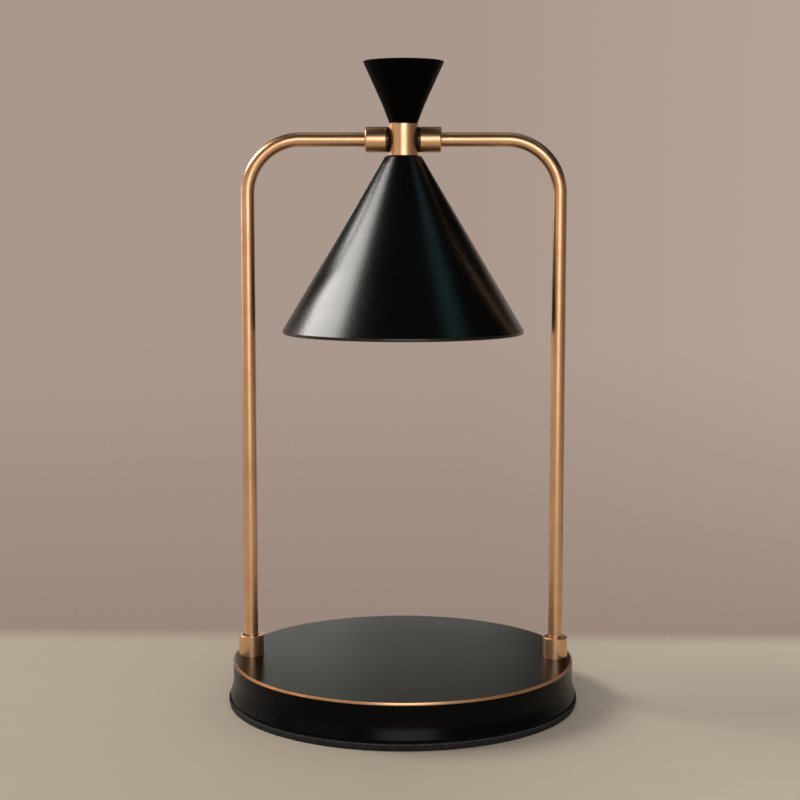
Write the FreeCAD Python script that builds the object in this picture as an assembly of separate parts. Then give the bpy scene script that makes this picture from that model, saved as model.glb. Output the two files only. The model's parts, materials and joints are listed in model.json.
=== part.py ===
"""Candle warmer lamp: a tilting lamp head carried between two bent brass tubes on a weighted round base.

The frame: +Z up, the origin on the floor under the middle of the base, X through the two legs, -Y the front.
All sizes are in millimetres. Every piece is a closed solid of its own, written to parts/NODE.step.
"""

import FreeCAD
import Part

import math
import os

Vector = FreeCAD.Vector
ALONG_X = Vector(1, 0, 0)
ALONG_Y = Vector(0, 1, 0)
UP = Vector(0, 0, 1)
SIDES = {"left": -1, "right": 1}

# ---------------------------------------------------------------- base
base_radius = 77.8  # straight side wall of the base
shell_wall = 2.0  # thickness of the shell's side and top
shell_inner_round = 0.4
flare_reach = 1.4  # how far the hem stands out from the side wall
flare_height = 5.0  # height of the sloping part of the flare
flare_round = 10.0  # hollow radius between the side wall and the flare
hem_band = 0.6  # upright edge of the hem above the foot pad
hem_round = 0.5
pad_thickness = 3.9  # foam ring under the hem
pad_overhang = 2.2  # how far the foam ring stands out from the side wall
pad_width = 16.0
pad_top_round = 0.8
pad_foot_round = 0.4
cover_thickness = 1.2
cover_gap = 0.4  # round the cover inside the shell
wiring_space = 6.9  # free height between the cover and the ballast
ballast_thickness = 6.0
ballast_clearance = 2.2  # from a leg nut to the ballast
ballast_round = 0.8
trim_width = 1.4
trim_height = 1.4
trim_round = 0.5

stud_count = 3
stud_radius = 2.0
stud_reach = 2.6  # length of a stud below the ballast
stud_inset = 12.0  # from the ballast's edge to a stud's axis
stud_play = 0.3  # round a stud in the ballast
standoff_wall = 1.6
blind_spare = 0.3  # depth of a tapped hole beyond its screw
cover_screw_radius = 1.5
cover_screw_reach = 3.0
cover_head_rim = 1.4  # how far a countersunk head stands out round its shank
cover_head_depth = 0.9
cross_length = 2.6
cross_width = 0.6
cross_depth = 0.6

# ---------------------------------------------------------------- cord inlet and terminal block
inlet_bore_radius = 2.5  # takes a 5 mm round cord
inlet_rubber = 1.0  # thickness of the grommet's sleeve
inlet_lip = 1.1  # how far its flanges stand out round the sleeve
inlet_flange = 1.3
inlet_round = 0.45
inlet_headroom = 0.2  # from the grommet's flange to the shell's ceiling
notch_play = 1.5  # round the cord in the ballast's notch
terminal_width = 16.0
terminal_depth = 18.0
terminal_clearance = 0.5  # between the terminal block and the cover
pole_pitch = 9.1
pole_bore_radius = 1.9
pole_inset = 2.0  # from the block's end to a clamp sleeve
clamp_wall = 0.6
clamp_screw_pitch = 8.4
clamp_screw_radius = 0.9
clamp_head_radius = 1.4
clamp_head_height = 1.0
clamp_screw_bite = 0.5  # how far a clamp screw reaches into its sleeve's bore
terminal_setback = 9.0  # from the ballast's edge to the back of the block
terminal_screw_radius = 1.25
terminal_head_rim = 0.95
terminal_head_height = 1.5

# ---------------------------------------------------------------- frame
leg_wall_gap = 0.5  # from a leg's washer to the shell's inner wall
axis_rise = 235.5  # from the base's top face up to the pivot axis
tube_radius = 3.175
tube_wall = 0.8
bend_radius = 24.0
ferrule_radius = 5.7
ferrule_height = 9.4  # above the base's top face
ferrule_recess = 0.9  # depth of the counterbore round the tube
ferrule_recess_gap = 0.75  # width of the counterbore round the tube
ferrule_round = 0.35
ferrule_sink = 0.4  # depth of the recess in the base's top that a ferrule stands in
ferrule_play = 0.1  # round a ferrule in its recess
leg_washer_radius = 5.3
leg_washer_thickness = 1.2
leg_nut_flats = 10.0
leg_nut_height = 3.2
leg_thread_spare = 0.6  # tube end below the nut
nut_chamfer = 0.6  # share of a nut's corner that its chamfer takes

# ---------------------------------------------------------------- pivot
barrel_radius = 6.8
barrel_height = 14.5
barrel_chamfer = 0.3
seat_reach = 5.9  # height above and below the axis at which a washer's dished seat runs out on the barrel
seat_shoulder = 0.85  # how much a seat takes off the barrel's outline at the level of the axis
collar_gap = 0.95  # from the barrel's side to a collar's face
collar_radius = 5.7
collar_length = 9.25
collar_round = 0.7
collar_face_round = 0.15
collar_socket = 6.0  # depth of the tube in the collar
washer_radius = 5.6
washer_round = 0.2
washer_bore_play = 0.15  # round the spigot in the washer
spigot_radius = 3.0
spigot_wall = 1.1
spigot_round = 0.2
spigot_lead_gap = 0.5  # from the right spigot's end to the lead
running_clearance = 0.05
tilt_limit = 45.0  # degrees each way
stop_screw_radius = 1.25
stop_screw_sink = 0.2  # from the barrel's surface down to the stop screw
stop_point_radius = 0.75
stop_groove_depth = 1.2
stop_play = 0.12
stop_spare_turn = 2.0  # degrees that the groove goes on past the limit
stop_socket_flats = 1.3
stop_socket_depth = 1.0

# ---------------------------------------------------------------- finial cup
finial_foot_radius = 6.3
finial_waist_radius = 9.5
finial_waist_height = 8.2  # where the wall's slope changes, above the foot
finial_waist_bend = 40.0  # hollow radius at the waist
finial_rim_radius = 18.2
finial_height = 27.25
finial_wall = 1.0
finial_floor = 1.5
finial_round = 0.3
finial_lip_round = 0.45
finial_screw_radius = 2.0
finial_screw_web = 0.8  # from the finial screw's hole to the cross bore
finial_head_rim = 1.9  # how far the screw's head stands out round its shank
finial_head_height = 2.4
finial_head_round = 0.9
finial_washer_rim = 0.7  # how far the washer stands out round the head
finial_washer_thickness = 0.8
finial_slot_width = 1.0
screw_play = 0.1  # round a screw in a part that it passes through

# ---------------------------------------------------------------- shade
shade_top_radius = 8.1
shade_rim_radius = 54.4
shade_height = 79.25
shade_wall = 1.0
shade_ceiling = 1.2
shade_shoulder = 1.2
shade_inner_round = 0.3
shade_hem_height = 1.4
shade_hem_width = 1.9
shade_hem_round = 0.45

# ---------------------------------------------------------------- lamp holder and its fixing
nipple_radius = 4.0
nipple_wall = 1.3
nipple_web = 0.85  # barrel left between the nipple and the cross bore
nipple_spare = 0.5  # length of the nipple below its last nut
nut_wall = 2.0  # from a nut's bore to its flats
nut_height = 3.2
lock_washer_rim = 2.6
lock_washer_thickness = 0.7
lock_washer_slit = 0.8
strap_thickness = 1.5
strap_width = 10.0
strap_round = 2.0
strap_end = 2.8  # from a strap screw's axis to the strap's end
strap_screw_radius = 1.5
strap_screw_reach = 6.0
strap_head_rim = 0.9
strap_head_height = 1.6
strap_head_round = 0.6
strap_slot_width = 0.7
shade_clearance = 0.7  # least gap from the strap's ends to the shade
nut_room = 0.7  # round the nut in the holder's recess
recess_web = 1.0  # ceramic between the recess and a strap screw
holder_wall = 1.5  # ceramic outside a strap screw
holder_round = 0.8
wiring_room = 3.7  # from the nipple's end to the recess's floor
recess_floor = 1.6  # ceramic between the recess and the pin chambers
web_thickness = 2.0  # ceramic that the pin heads lock behind
chamber_height = 6.0
pin_circle = 5.0  # radius of the circle of the two pins
pin_neck_radius = 1.5
pin_head_radius = 2.5
pin_neck_length = 2.7
pin_head_length = 3.5
pin_clearance = 0.35
unlock_turn = 25.0  # degrees from locked to free
contact_inset = 0.2  # from a pin head's edge to the contact's edge
contact_thickness = 0.8
contact_post_wall = 0.6
contact_gap = 0.3

# ---------------------------------------------------------------- bulb
seat_gap = 0.2  # between the bulb's base and the holder
bulb_length = 46.5  # from the seat to the front
bulb_radius = 25.0
bulb_base_radius = 12.9
bulb_base_length = 16.0
bulb_base_bevel = 3.0
bulb_round = 0.4
bulb_rim_height = 4.2
bulb_neck_radius = 11.4
bulb_glass = 1.4
bulb_swell_share = 0.62  # how much of its full width the reflector has where it is most curved
bulb_swell_drop = 0.36  # how far down that is, as a share of the reflector
bulb_swell_round = 14.0
pin_neck_round = 0.3
pin_head_round = 0.8
front_glass_thickness = 2.0
front_glass_recess = 0.6
front_glass_ledge = 1.4
front_glass_play = 0.1
burner_radius = 4.9
burner_socket = 11.0
burner_reach = 18.0
burner_dome = 3.9

# ---------------------------------------------------------------- lead
lead_radius = 1.5
core_radius = 0.7
core_bend = 1.0
core_play = 0.3  # round a core in the holder
core_bite = 6.0  # length of a core in the terminal block
core_fan = 8.0  # length over which the cores spread to the terminal block
sheath_lap = 2.0  # how far back in the sheath a core is drawn
sheath_setback = 0.3  # from the nipple's end to the sheath's end
leg_turn_radius = 4.5  # bend of the lead under the leg
base_turn_radius = 20.0  # bend of the lead in the base
hub_turn_radius = 3.0  # bend of the lead in the barrel
hub_lead_run = 0.5  # straight start of the head's lead, which turns on the frame's lead
lead_joint_depth = 1.0  # from the left spigot's end in to where the two leads meet
fit = 0.05  # clearance round a part fixed in a bore

# ---------------------------------------------------------------- worked-out places
cover_top = pad_thickness + cover_thickness
ballast_bottom = cover_top + wiring_space
shell_ceiling = ballast_bottom + ballast_thickness
base_top = shell_ceiling + shell_wall
inner_radius = base_radius - shell_wall
hem_radius = base_radius + flare_reach
hem_top = pad_thickness + hem_band
pad_radius = base_radius + pad_overhang

half_span = inner_radius - leg_wall_gap - leg_washer_radius
ballast_radius = half_span - leg_nut_flats / math.sqrt(3) - ballast_clearance
stud_circle = ballast_radius - stud_inset
stud_end = ballast_bottom - stud_reach
ferrule_foot = base_top - ferrule_sink
tube_bore = tube_radius - tube_wall
axis_height = base_top + axis_rise
leg_nut_bottom = shell_ceiling - leg_washer_thickness - leg_nut_height
leg_bottom = leg_nut_bottom - leg_thread_spare

inlet_sleeve_radius = inlet_bore_radius + inlet_rubber
inlet_flange_radius = inlet_sleeve_radius + inlet_lip
inlet_height = shell_ceiling - inlet_flange_radius - inlet_headroom
terminal_bottom = cover_top + terminal_clearance
terminal_height = ballast_bottom - terminal_bottom
terminal_back = ballast_radius - terminal_setback
terminal_front = terminal_back - terminal_depth
pole_height = terminal_bottom + terminal_height / 2

collar_face = barrel_radius + collar_gap
lead_joint = hub_turn_radius + hub_lead_run
tube_end = collar_face + collar_length - collar_socket
seat_middle = seat_reach ** 2 / (2 * seat_shoulder)  # centre of a seat's sphere, from the barrel's axis
seat_radius = math.sqrt((seat_middle - barrel_radius) ** 2 + 2 * seat_middle * seat_shoulder)
seat_floor = seat_middle - seat_radius
cross_bore = spigot_radius + running_clearance
barrel_top = axis_height + barrel_height / 2
barrel_bottom = axis_height - barrel_height / 2
spigot_tip_left = lead_joint - lead_joint_depth
spigot_tip_right = lead_radius + spigot_lead_gap
stop_offset = (spigot_tip_right + seat_floor) / 2
stop_floor = spigot_radius - stop_groove_depth
stop_point_end = stop_floor + stop_play
finial_thread = barrel_height / 2 - cross_bore - finial_screw_web - blind_spare
finial_seat = barrel_top + finial_floor + finial_washer_thickness
finial_head_radius = finial_screw_radius + finial_head_rim

shade_top = barrel_bottom
shade_rim = shade_top - shade_height
shade_slope = (shade_rim_radius - shade_top_radius) / (shade_height - shade_hem_height)
shade_side_wall = shade_wall * math.hypot(1, shade_slope)

nut_flats = 2 * (nipple_radius + nut_wall)
nut_corner = nut_flats / math.sqrt(3)
recess_radius = nut_corner + nut_room
strap_screw_offset = recess_radius + recess_web + strap_screw_radius
strap_half_length = strap_screw_offset + strap_end
strap_corner = math.hypot(strap_half_length, strap_width / 2)
strap_drop = (strap_corner + shade_clearance + shade_side_wall - shade_top_radius) / shade_slope
strap_top = shade_top - strap_drop
strap_bottom = strap_top - strap_thickness
nipple_top = axis_height - cross_bore - nipple_web
nipple_bottom = strap_bottom - nut_height - nipple_spare
holder_radius = strap_screw_offset + strap_screw_radius + holder_wall
recess_bottom = nipple_bottom - wiring_room
chamber_roof = recess_bottom - recess_floor
chamber_floor = chamber_roof - chamber_height
holder_face = chamber_floor - web_thickness
bulb_seat = holder_face - seat_gap
bulb_neck = bulb_seat - bulb_base_length
bulb_front = bulb_seat - bulb_length
pin_angles = (90, 270)  # where the two pins are when the bulb is locked


# ---------------------------------------------------------------- tools
def wire_through(corners):
    """Closed wire in the XZ plane through (radius, height) corners; a third number rounds that corner."""
    count = len(corners)
    arrive, leave, middle = [], [], []
    for i, corner in enumerate(corners):
        here = Vector(corner[0], 0, corner[1])
        radius = corner[2] if len(corner) > 2 else 0
        before = corners[i - 1]
        after = corners[(i + 1) % count]
        back = (Vector(before[0], 0, before[1]) - here).normalize()
        ahead = (Vector(after[0], 0, after[1]) - here).normalize()
        if radius == 0:
            arrive.append(here)
            leave.append(here)
            middle.append(None)
            continue
        half = back.getAngle(ahead) / 2
        reach = radius / math.tan(half)
        bisector = (back + ahead).normalize()
        arrive.append(here + back * reach)
        leave.append(here + ahead * reach)
        middle.append(here + bisector * (radius / math.sin(half) - radius))
    edges = []
    for i in range(count):
        if middle[i] is not None:
            edges.append(Part.Arc(arrive[i], middle[i], leave[i]).toShape())
        start, end = leave[i], arrive[(i + 1) % count]
        if start.distanceToPoint(end) > 1e-6:
            edges.append(Part.LineSegment(start, end).toShape())
    return Part.Wire(edges)


def lathe(corners, at=Vector(0, 0, 0), along=UP):
    """Solid turned from (radius, height) corners about the line through at in the direction along."""
    solid = Part.Face(wire_through(corners)).revolve(Vector(0, 0, 0), UP, 360)
    solid.Placement = FreeCAD.Placement(at, FreeCAD.Rotation(UP, along))
    return solid


def on_axis(x, height):
    """Point in the plane of the legs."""
    return Vector(x, 0, height)


def rod(radius, length, at, along=UP):
    """Plain cylinder that starts at a point and runs along a direction."""
    return Part.makeCylinder(radius, length, at, along)


def tube(outer, inner, length, at, along=UP):
    """Plain sleeve that starts at a point and runs along a direction."""
    return rod(outer, length, at, along).cut(rod(inner, length, at, along))


def hex_prism(across_flats, height, at, along=UP):
    """Six-sided prism, a flat facing its own X axis."""
    corner = across_flats / math.sqrt(3)
    angles = [math.radians(30 + 60 * i) for i in range(6)]
    points = [Vector(corner * math.cos(a), corner * math.sin(a), 0) for a in angles]
    prism = Part.Face(Part.makePolygon(points + points[:1])).extrude(Vector(0, 0, height))
    prism.Placement = FreeCAD.Placement(at, FreeCAD.Rotation(UP, along))
    return prism


def hex_nut(across_flats, bore, height, at):
    """Hexagon nut with chamfered corners, its lower face at a point."""
    corner = across_flats / math.sqrt(3)
    lift = (corner - across_flats / 2) * nut_chamfer
    blank = lathe([(0, 0), (across_flats / 2, 0), (corner, lift), (corner, height - lift),
                   (across_flats / 2, height), (0, height)], at)
    return hex_prism(across_flats, height, at).common(blank).cut(rod(bore, height, at))


def bar_along(route, radius):
    """Round bar along a route of points; each inner point carries the radius of its bend."""
    edges = []
    start = route[0][0]
    for i in range(1, len(route) - 1):
        here, bend = route[i]
        back = (route[i - 1][0] - here).normalize()
        ahead = (route[i + 1][0] - here).normalize()
        half = back.getAngle(ahead) / 2
        reach = bend / math.tan(half)
        entry = here + back * reach
        leave = here + ahead * reach
        middle = here + (back + ahead).normalize() * (bend / math.sin(half) - bend)
        edges.append(Part.LineSegment(start, entry).toShape())
        edges.append(Part.Arc(entry, middle, leave).toShape())
        start = leave
    edges.append(Part.LineSegment(start, route[-1][0]).toShape())
    direction = (route[1][0] - route[0][0]).normalize()
    section = Part.Wire([Part.Circle(route[0][0], direction, radius).toShape()])
    return Part.Wire(edges).makePipeShell([section], True, True)


def polar(radius, degrees, height):
    """Point at a radius and an angle from +X, at a height."""
    angle = math.radians(degrees)
    return Vector(radius * math.cos(angle), radius * math.sin(angle), height)


def ring_sector(inner, outer, bottom, top, first, last):
    """Part of a ring about the Z axis between two angles."""
    outline = wire_through([(inner, bottom), (outer, bottom), (outer, top), (inner, top)])
    sector = Part.Face(outline).revolve(Vector(0, 0, 0), UP, last - first)
    sector.rotate(Vector(0, 0, 0), UP, first)
    return sector


def swept_slot(circle, radius, first, last, bottom, height):
    """Curved slot: a disc carried round the Z axis from one angle to another."""
    slot = rod(radius, height, polar(circle, first, bottom))
    slot = slot.fuse(rod(radius, height, polar(circle, last, bottom)))
    sector = ring_sector(circle - radius, circle + radius, bottom, bottom + height, first, last)
    return slot.fuse(sector).removeSplitter()


def driver_slot(length, width, depth, top):
    """Cutter for a screwdriver slot along X, down from the middle of a screw's top."""
    return Part.makeBox(length, width, depth, top - Vector(length / 2, width / 2, depth))


def save(name, *solids):
    """Writes one node; several solids make a group of identical pieces."""
    for solid in solids:
        if not solid.isValid() or len(solid.Solids) != 1:
            raise ValueError(f"{name} is not one valid solid")
    shape = solids[0] if len(solids) == 1 else Part.makeCompound(list(solids))
    shape.exportStep(f"parts/{name}.step")
    print(f"{name}: {len(solids)} solid(s), {shape.Volume:.1f} mm3")


# ---------------------------------------------------------------- base pieces
def stud_places(height):
    """Axes of the weld studs, one of them at the front."""
    return [polar(stud_circle, -90 + 360 * i / stud_count, height) for i in range(stud_count)]


def base_shell():
    """Pressed shell: flared hem, trim rebate, weld studs, leg and cord holes, recesses for the ferrules."""
    shell = lathe([
        (0, shell_ceiling), (inner_radius, shell_ceiling, shell_inner_round), (inner_radius, pad_thickness),
        (hem_radius, pad_thickness), (hem_radius, hem_top, hem_round),
        (base_radius, hem_top + flare_height, flare_round),
        (base_radius, base_top - trim_height), (base_radius - trim_width, base_top - trim_height),
        (base_radius - trim_width, base_top), (0, base_top)])
    for place in stud_places(stud_end):
        shell = shell.fuse(rod(stud_radius, shell_ceiling - stud_end + shell_wall / 2, place))
    for side in SIDES.values():
        leg = side * half_span
        shell = shell.cut(rod(tube_radius + fit, shell_wall, on_axis(leg, shell_ceiling)))
        shell = shell.cut(rod(ferrule_radius + ferrule_play, ferrule_sink, on_axis(leg, ferrule_foot)))
    inside = Vector(0, inner_radius - shell_wall / 2, inlet_height)
    return shell.cut(rod(inlet_sleeve_radius, 2 * shell_wall, inside, ALONG_Y)).removeSplitter()


def edge_trim_ring():
    """Brass ring round the top edge, rounded on its outer corner."""
    inner = base_radius - trim_width + fit
    return lathe([(inner, base_top - trim_height), (base_radius, base_top - trim_height),
                  (base_radius, base_top, trim_round), (inner, base_top)])


def foot_pad():
    """Foam ring that the lamp stands on."""
    inner = pad_radius - pad_width
    return lathe([(inner, 0), (pad_radius, 0, pad_foot_round), (pad_radius, pad_thickness, pad_top_round),
                  (inner, pad_thickness)])


def base_cover():
    """Sheet cover that closes the base from below, countersunk for its screws."""
    cover = rod(inner_radius - cover_gap, cover_thickness, Vector(0, 0, pad_thickness))
    shank = cover_screw_radius + fit
    for place in stud_places(pad_thickness):
        cover = cover.cut(lathe([(0, 0), (shank + cover_head_rim, 0), (shank, cover_head_depth),
                                 (shank, cover_thickness), (0, cover_thickness)], place))
    return cover


def cover_screws():
    """Countersunk cross-head screws that hold the cover."""
    length = cover_thickness + cover_screw_reach
    head = cover_screw_radius + cover_head_rim
    screws = []
    for place in stud_places(pad_thickness):
        screw = lathe([(0, 0), (head, 0), (cover_screw_radius, cover_head_depth),
                       (cover_screw_radius, length), (0, length)], place)
        top = place + UP * cross_depth
        screw = screw.cut(driver_slot(cross_length, cross_width, cross_depth, top))
        screws.append(screw.cut(driver_slot(cross_width, cross_length, cross_depth, top)))
    return screws


def cover_standoffs():
    """Tapped spacers that clamp the ballast to the weld studs and take the cover screws."""
    spacers = []
    for place in stud_places(cover_top):
        spacer = rod(stud_radius + standoff_wall, wiring_space, place)
        spacer = spacer.cut(rod(cover_screw_radius + fit, cover_screw_reach + blind_spare, place))
        stud_hole = stud_reach + blind_spare
        hole_floor = place + UP * (wiring_space - stud_hole)
        spacers.append(spacer.cut(rod(stud_radius + fit, stud_hole, hole_floor)))
    return spacers


def ballast_plate():
    """Iron disc that keeps the lamp upright, notched at the rear for the cord."""
    plate = lathe([(0, ballast_bottom), (ballast_radius, ballast_bottom, ballast_round),
                   (ballast_radius, shell_ceiling, ballast_round), (0, shell_ceiling)])
    for place in stud_places(ballast_bottom):
        plate = plate.cut(rod(stud_radius + stud_play, ballast_thickness, place))
    notch_half = inlet_bore_radius + notch_play
    plate = plate.cut(Part.makeBox(2 * notch_half, terminal_setback, ballast_thickness,
                                   Vector(-notch_half, terminal_back, ballast_bottom)))
    screw_hole = rod(terminal_screw_radius + fit, ballast_thickness / 2, terminal_middle(ballast_bottom))
    return plate.cut(screw_hole)


# ---------------------------------------------------------------- cord inlet and terminal block
def cord_grommet():
    """Rubber grommet in the rear wall: its groove takes the curve of the shell."""
    length = shell_wall + 2 * inlet_flange
    blank = lathe([
        (inlet_bore_radius, 0), (inlet_flange_radius, 0, inlet_round),
        (inlet_flange_radius, length, inlet_round), (inlet_bore_radius, length)],
        Vector(0, inner_radius - inlet_flange, inlet_height), ALONG_Y)
    return blank.cut(base_shell())


def terminal_middle(height):
    """Middle of the terminal block at a height."""
    return Vector(0, terminal_back - terminal_depth / 2, height)


def pole_places(y, height):
    """Points on the axes of the two poles."""
    return [Vector(side * pole_pitch / 2, y, height) for side in SIDES.values()]


def clamp_screw_places(height):
    """Axes of the four clamp screws, two to a pole."""
    middle = terminal_middle(height).y
    rows = (middle - clamp_screw_pitch / 2, middle + clamp_screw_pitch / 2)
    return [place for y in rows for place in pole_places(y, height)]


def terminal_block():
    """Two-pole connector block with a wire hole through each pole and a hole under each clamp screw."""
    middle = terminal_middle(terminal_bottom)
    block = Part.makeBox(terminal_width, terminal_depth, terminal_height,
                         middle - Vector(terminal_width / 2, terminal_depth / 2, 0))
    for place in pole_places(terminal_front, pole_height):
        block = block.cut(rod(pole_bore_radius, terminal_depth, place, ALONG_Y))
    for place in clamp_screw_places(terminal_bottom):
        block = block.cut(rod(clamp_head_radius + screw_play, terminal_height / 2, place))
    block = block.cut(rod(terminal_screw_radius + fit, terminal_height, middle))
    return block.cut(rod(terminal_screw_radius + terminal_head_rim + fit, terminal_head_height, middle))


def clamp_sleeves():
    """Brass sleeves in the two poles, tapped for the clamp screws."""
    outer = pole_bore_radius - fit
    sleeves = []
    for place in pole_places(terminal_front + pole_inset, pole_height):
        sleeve = tube(outer, outer - clamp_wall, terminal_depth - 2 * pole_inset, place, ALONG_Y)
        for screw in clamp_screw_places(pole_height - outer):
            sleeve = sleeve.cut(rod(clamp_screw_radius + fit, outer, screw))
        sleeves.append(sleeve)
    return sleeves


def clamp_screws():
    """Slotted screws that press the wires in their sleeves."""
    tip = pole_height - pole_bore_radius + clamp_wall + clamp_screw_bite - terminal_bottom
    screws = []
    for place in clamp_screw_places(terminal_bottom):
        screw = lathe([
            (0, 0), (clamp_head_radius, 0), (clamp_head_radius, clamp_head_height),
            (clamp_screw_radius, clamp_head_height), (clamp_screw_radius, tip), (0, tip)], place)
        slot_depth = clamp_head_height / 2
        screws.append(screw.cut(driver_slot(2 * clamp_head_radius, cross_width, slot_depth,
                                            place + UP * slot_depth)))
    return screws


def terminal_screw():
    """Screw up through the middle of the terminal block into the ballast."""
    end = terminal_height + ballast_thickness / 2 - blind_spare
    head = terminal_screw_radius + terminal_head_rim
    return lathe([
        (0, 0), (head, 0), (head, terminal_head_height), (terminal_screw_radius, terminal_head_height),
        (terminal_screw_radius, end), (0, end)], terminal_middle(terminal_bottom))


# ---------------------------------------------------------------- frame pieces
def frame_tube(side):
    """Bent brass tube from the nut under the base to its collar at the hub."""
    leg = side * half_span
    route = [(on_axis(leg, leg_bottom), 0), (on_axis(leg, axis_height), bend_radius),
             (on_axis(side * tube_end, axis_height), 0)]
    return bar_along(route, tube_radius).cut(bar_along(route, tube_bore))


def leg_ferrule(side):
    """Turned ferrule that seats a leg on the base, counterbored round the tube."""
    bore = tube_radius + fit
    shoulder = bore + ferrule_recess_gap
    length = ferrule_sink + ferrule_height
    floor = length - ferrule_recess
    return lathe([
        (bore, 0), (ferrule_radius, 0, ferrule_round), (ferrule_radius, length, ferrule_round),
        (shoulder, length), (shoulder, floor), (bore, floor)], on_axis(side * half_span, ferrule_foot))


def leg_washers():
    """Plain washers under the shell's top."""
    bore = tube_radius + fit
    bottom = shell_ceiling - leg_washer_thickness
    return [tube(leg_washer_radius, bore, leg_washer_thickness, on_axis(side * half_span, bottom))
            for side in SIDES.values()]


def leg_nuts():
    """Thin nuts on the threaded ends of the legs."""
    bore = tube_radius + fit
    return [hex_nut(leg_nut_flats, bore, leg_nut_height, on_axis(side * half_span, leg_nut_bottom))
            for side in SIDES.values()]


def hub_collar(side, tip):
    """Collar on the end of a frame tube, with the spigot that the barrel turns on."""
    length = collar_face + collar_length - tip
    face = collar_face - tip
    socket = tube_radius + fit
    floor = length - collar_socket
    return lathe([
        (0, 0), (spigot_radius, 0, spigot_round), (spigot_radius, face),
        (collar_radius, face, collar_face_round), (collar_radius, length, collar_round), (socket, length),
        (socket, floor), (0, floor)], on_axis(side * tip, axis_height), ALONG_X * side)


def hub_collar_left():
    """Collar with a hollow spigot, on the side that the lead comes through."""
    left = SIDES["left"]
    lead_way = rod(spigot_radius - spigot_wall, tube_end, on_axis(0, axis_height), ALONG_X * left)
    return hub_collar(left, spigot_tip_left).cut(lead_way)


def stop_groove():
    """Slot round the rear of the right spigot, a little longer than the stop screw's travel."""
    half_width = stop_point_radius + stop_play
    point_turn = math.degrees(math.atan(stop_point_radius / stop_point_end))
    half_turn = tilt_limit + point_turn + stop_spare_turn
    groove = ring_sector(stop_floor, 2 * spigot_radius, -half_width, half_width, -half_turn, half_turn)
    about_x = FreeCAD.Rotation(ALONG_Y, UP, ALONG_X, "XZY")
    place = FreeCAD.Placement(on_axis(stop_offset, axis_height), about_x)
    groove.Placement = place.multiply(groove.Placement)
    return groove


def hub_collar_right():
    """Collar with a solid spigot, grooved to limit the tilt."""
    return hub_collar(SIDES["right"], spigot_tip_right).cut(stop_groove())


# ---------------------------------------------------------------- head pieces
def seat_ball(side):
    """Ball whose surface is a washer's seat in the barrel."""
    return Part.makeSphere(seat_radius, on_axis(side * seat_middle, axis_height))


def hub_barrel():
    """Barrel under the finial: cross bore, two dished washer seats, lead way and tapped ends."""
    face = barrel_radius - barrel_chamfer
    barrel = lathe([
        (0, 0), (face, 0), (barrel_radius, barrel_chamfer), (barrel_radius, barrel_height - barrel_chamfer),
        (face, barrel_height), (0, barrel_height)], on_axis(0, barrel_bottom))
    barrel = barrel.cut(rod(cross_bore, 2 * barrel_radius, on_axis(-barrel_radius, axis_height), ALONG_X))
    for side in SIDES.values():
        barrel = barrel.cut(seat_ball(side))
    barrel = barrel.cut(rod(nipple_radius + fit, nipple_top - barrel_bottom, on_axis(0, barrel_bottom)))
    barrel = barrel.cut(rod(nipple_radius - nipple_wall, barrel_height / 2, on_axis(0, barrel_bottom)))
    screw_hole = finial_thread + blind_spare
    barrel = barrel.cut(rod(finial_screw_radius + fit, screw_hole, on_axis(0, barrel_top - screw_hole)))
    stop_hole = rod(stop_screw_radius + fit, barrel_radius, on_axis(stop_offset, axis_height), ALONG_Y)
    return barrel.cut(stop_hole)


def pivot_washer(side):
    """Black nylon friction washer, domed to fit its seat in the barrel's side."""
    length = collar_face - running_clearance - seat_floor
    bore = spigot_radius + washer_bore_play
    blank = lathe([(bore, 0), (washer_radius, 0), (washer_radius, length, washer_round), (bore, length)],
                  on_axis(side * seat_floor, axis_height), ALONG_X * side)
    return blank.common(seat_ball(side))


def tilt_stop_screw():
    """Socket set screw in the rear of the barrel; its point runs in the right spigot's groove."""
    head = math.sqrt(barrel_radius ** 2 - (stop_offset + stop_screw_radius) ** 2) - stop_screw_sink
    length = head - stop_point_end
    point = cross_bore + running_clearance - stop_point_end
    screw = lathe([(0, 0), (stop_point_radius, 0), (stop_point_radius, point), (stop_screw_radius, point),
                   (stop_screw_radius, length), (0, length)],
                  Vector(stop_offset, stop_point_end, axis_height), ALONG_Y)
    socket_floor = Vector(stop_offset, head - stop_socket_depth, axis_height)
    return screw.cut(hex_prism(stop_socket_flats, stop_socket_depth, socket_floor, ALONG_Y))


def finial_cup():
    """Spun inverted cone with a slightly hollow side, open at the top, on the barrel."""
    foot_slope = (finial_waist_radius - finial_foot_radius) / finial_waist_height
    rim_slope = (finial_rim_radius - finial_waist_radius) / (finial_height - finial_waist_height)
    foot_wall = finial_wall * math.hypot(1, foot_slope)
    rim_wall = finial_wall * math.hypot(1, rim_slope)
    floor_radius = finial_foot_radius + foot_slope * finial_floor - foot_wall
    hole = finial_screw_radius + screw_play
    return lathe([
        (hole, 0), (finial_foot_radius, 0, finial_round),
        (finial_waist_radius, finial_waist_height, finial_waist_bend),
        (finial_rim_radius, finial_height, finial_lip_round),
        (finial_rim_radius - rim_wall, finial_height, finial_lip_round),
        (finial_waist_radius - rim_wall, finial_waist_height, finial_waist_bend),
        (floor_radius, finial_floor), (hole, finial_floor)], on_axis(0, barrel_top))


def finial_washer():
    """Washer under the finial screw's head."""
    return tube(finial_head_radius + finial_washer_rim, finial_screw_radius + screw_play,
                finial_washer_thickness, on_axis(0, barrel_top + finial_floor))


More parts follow.
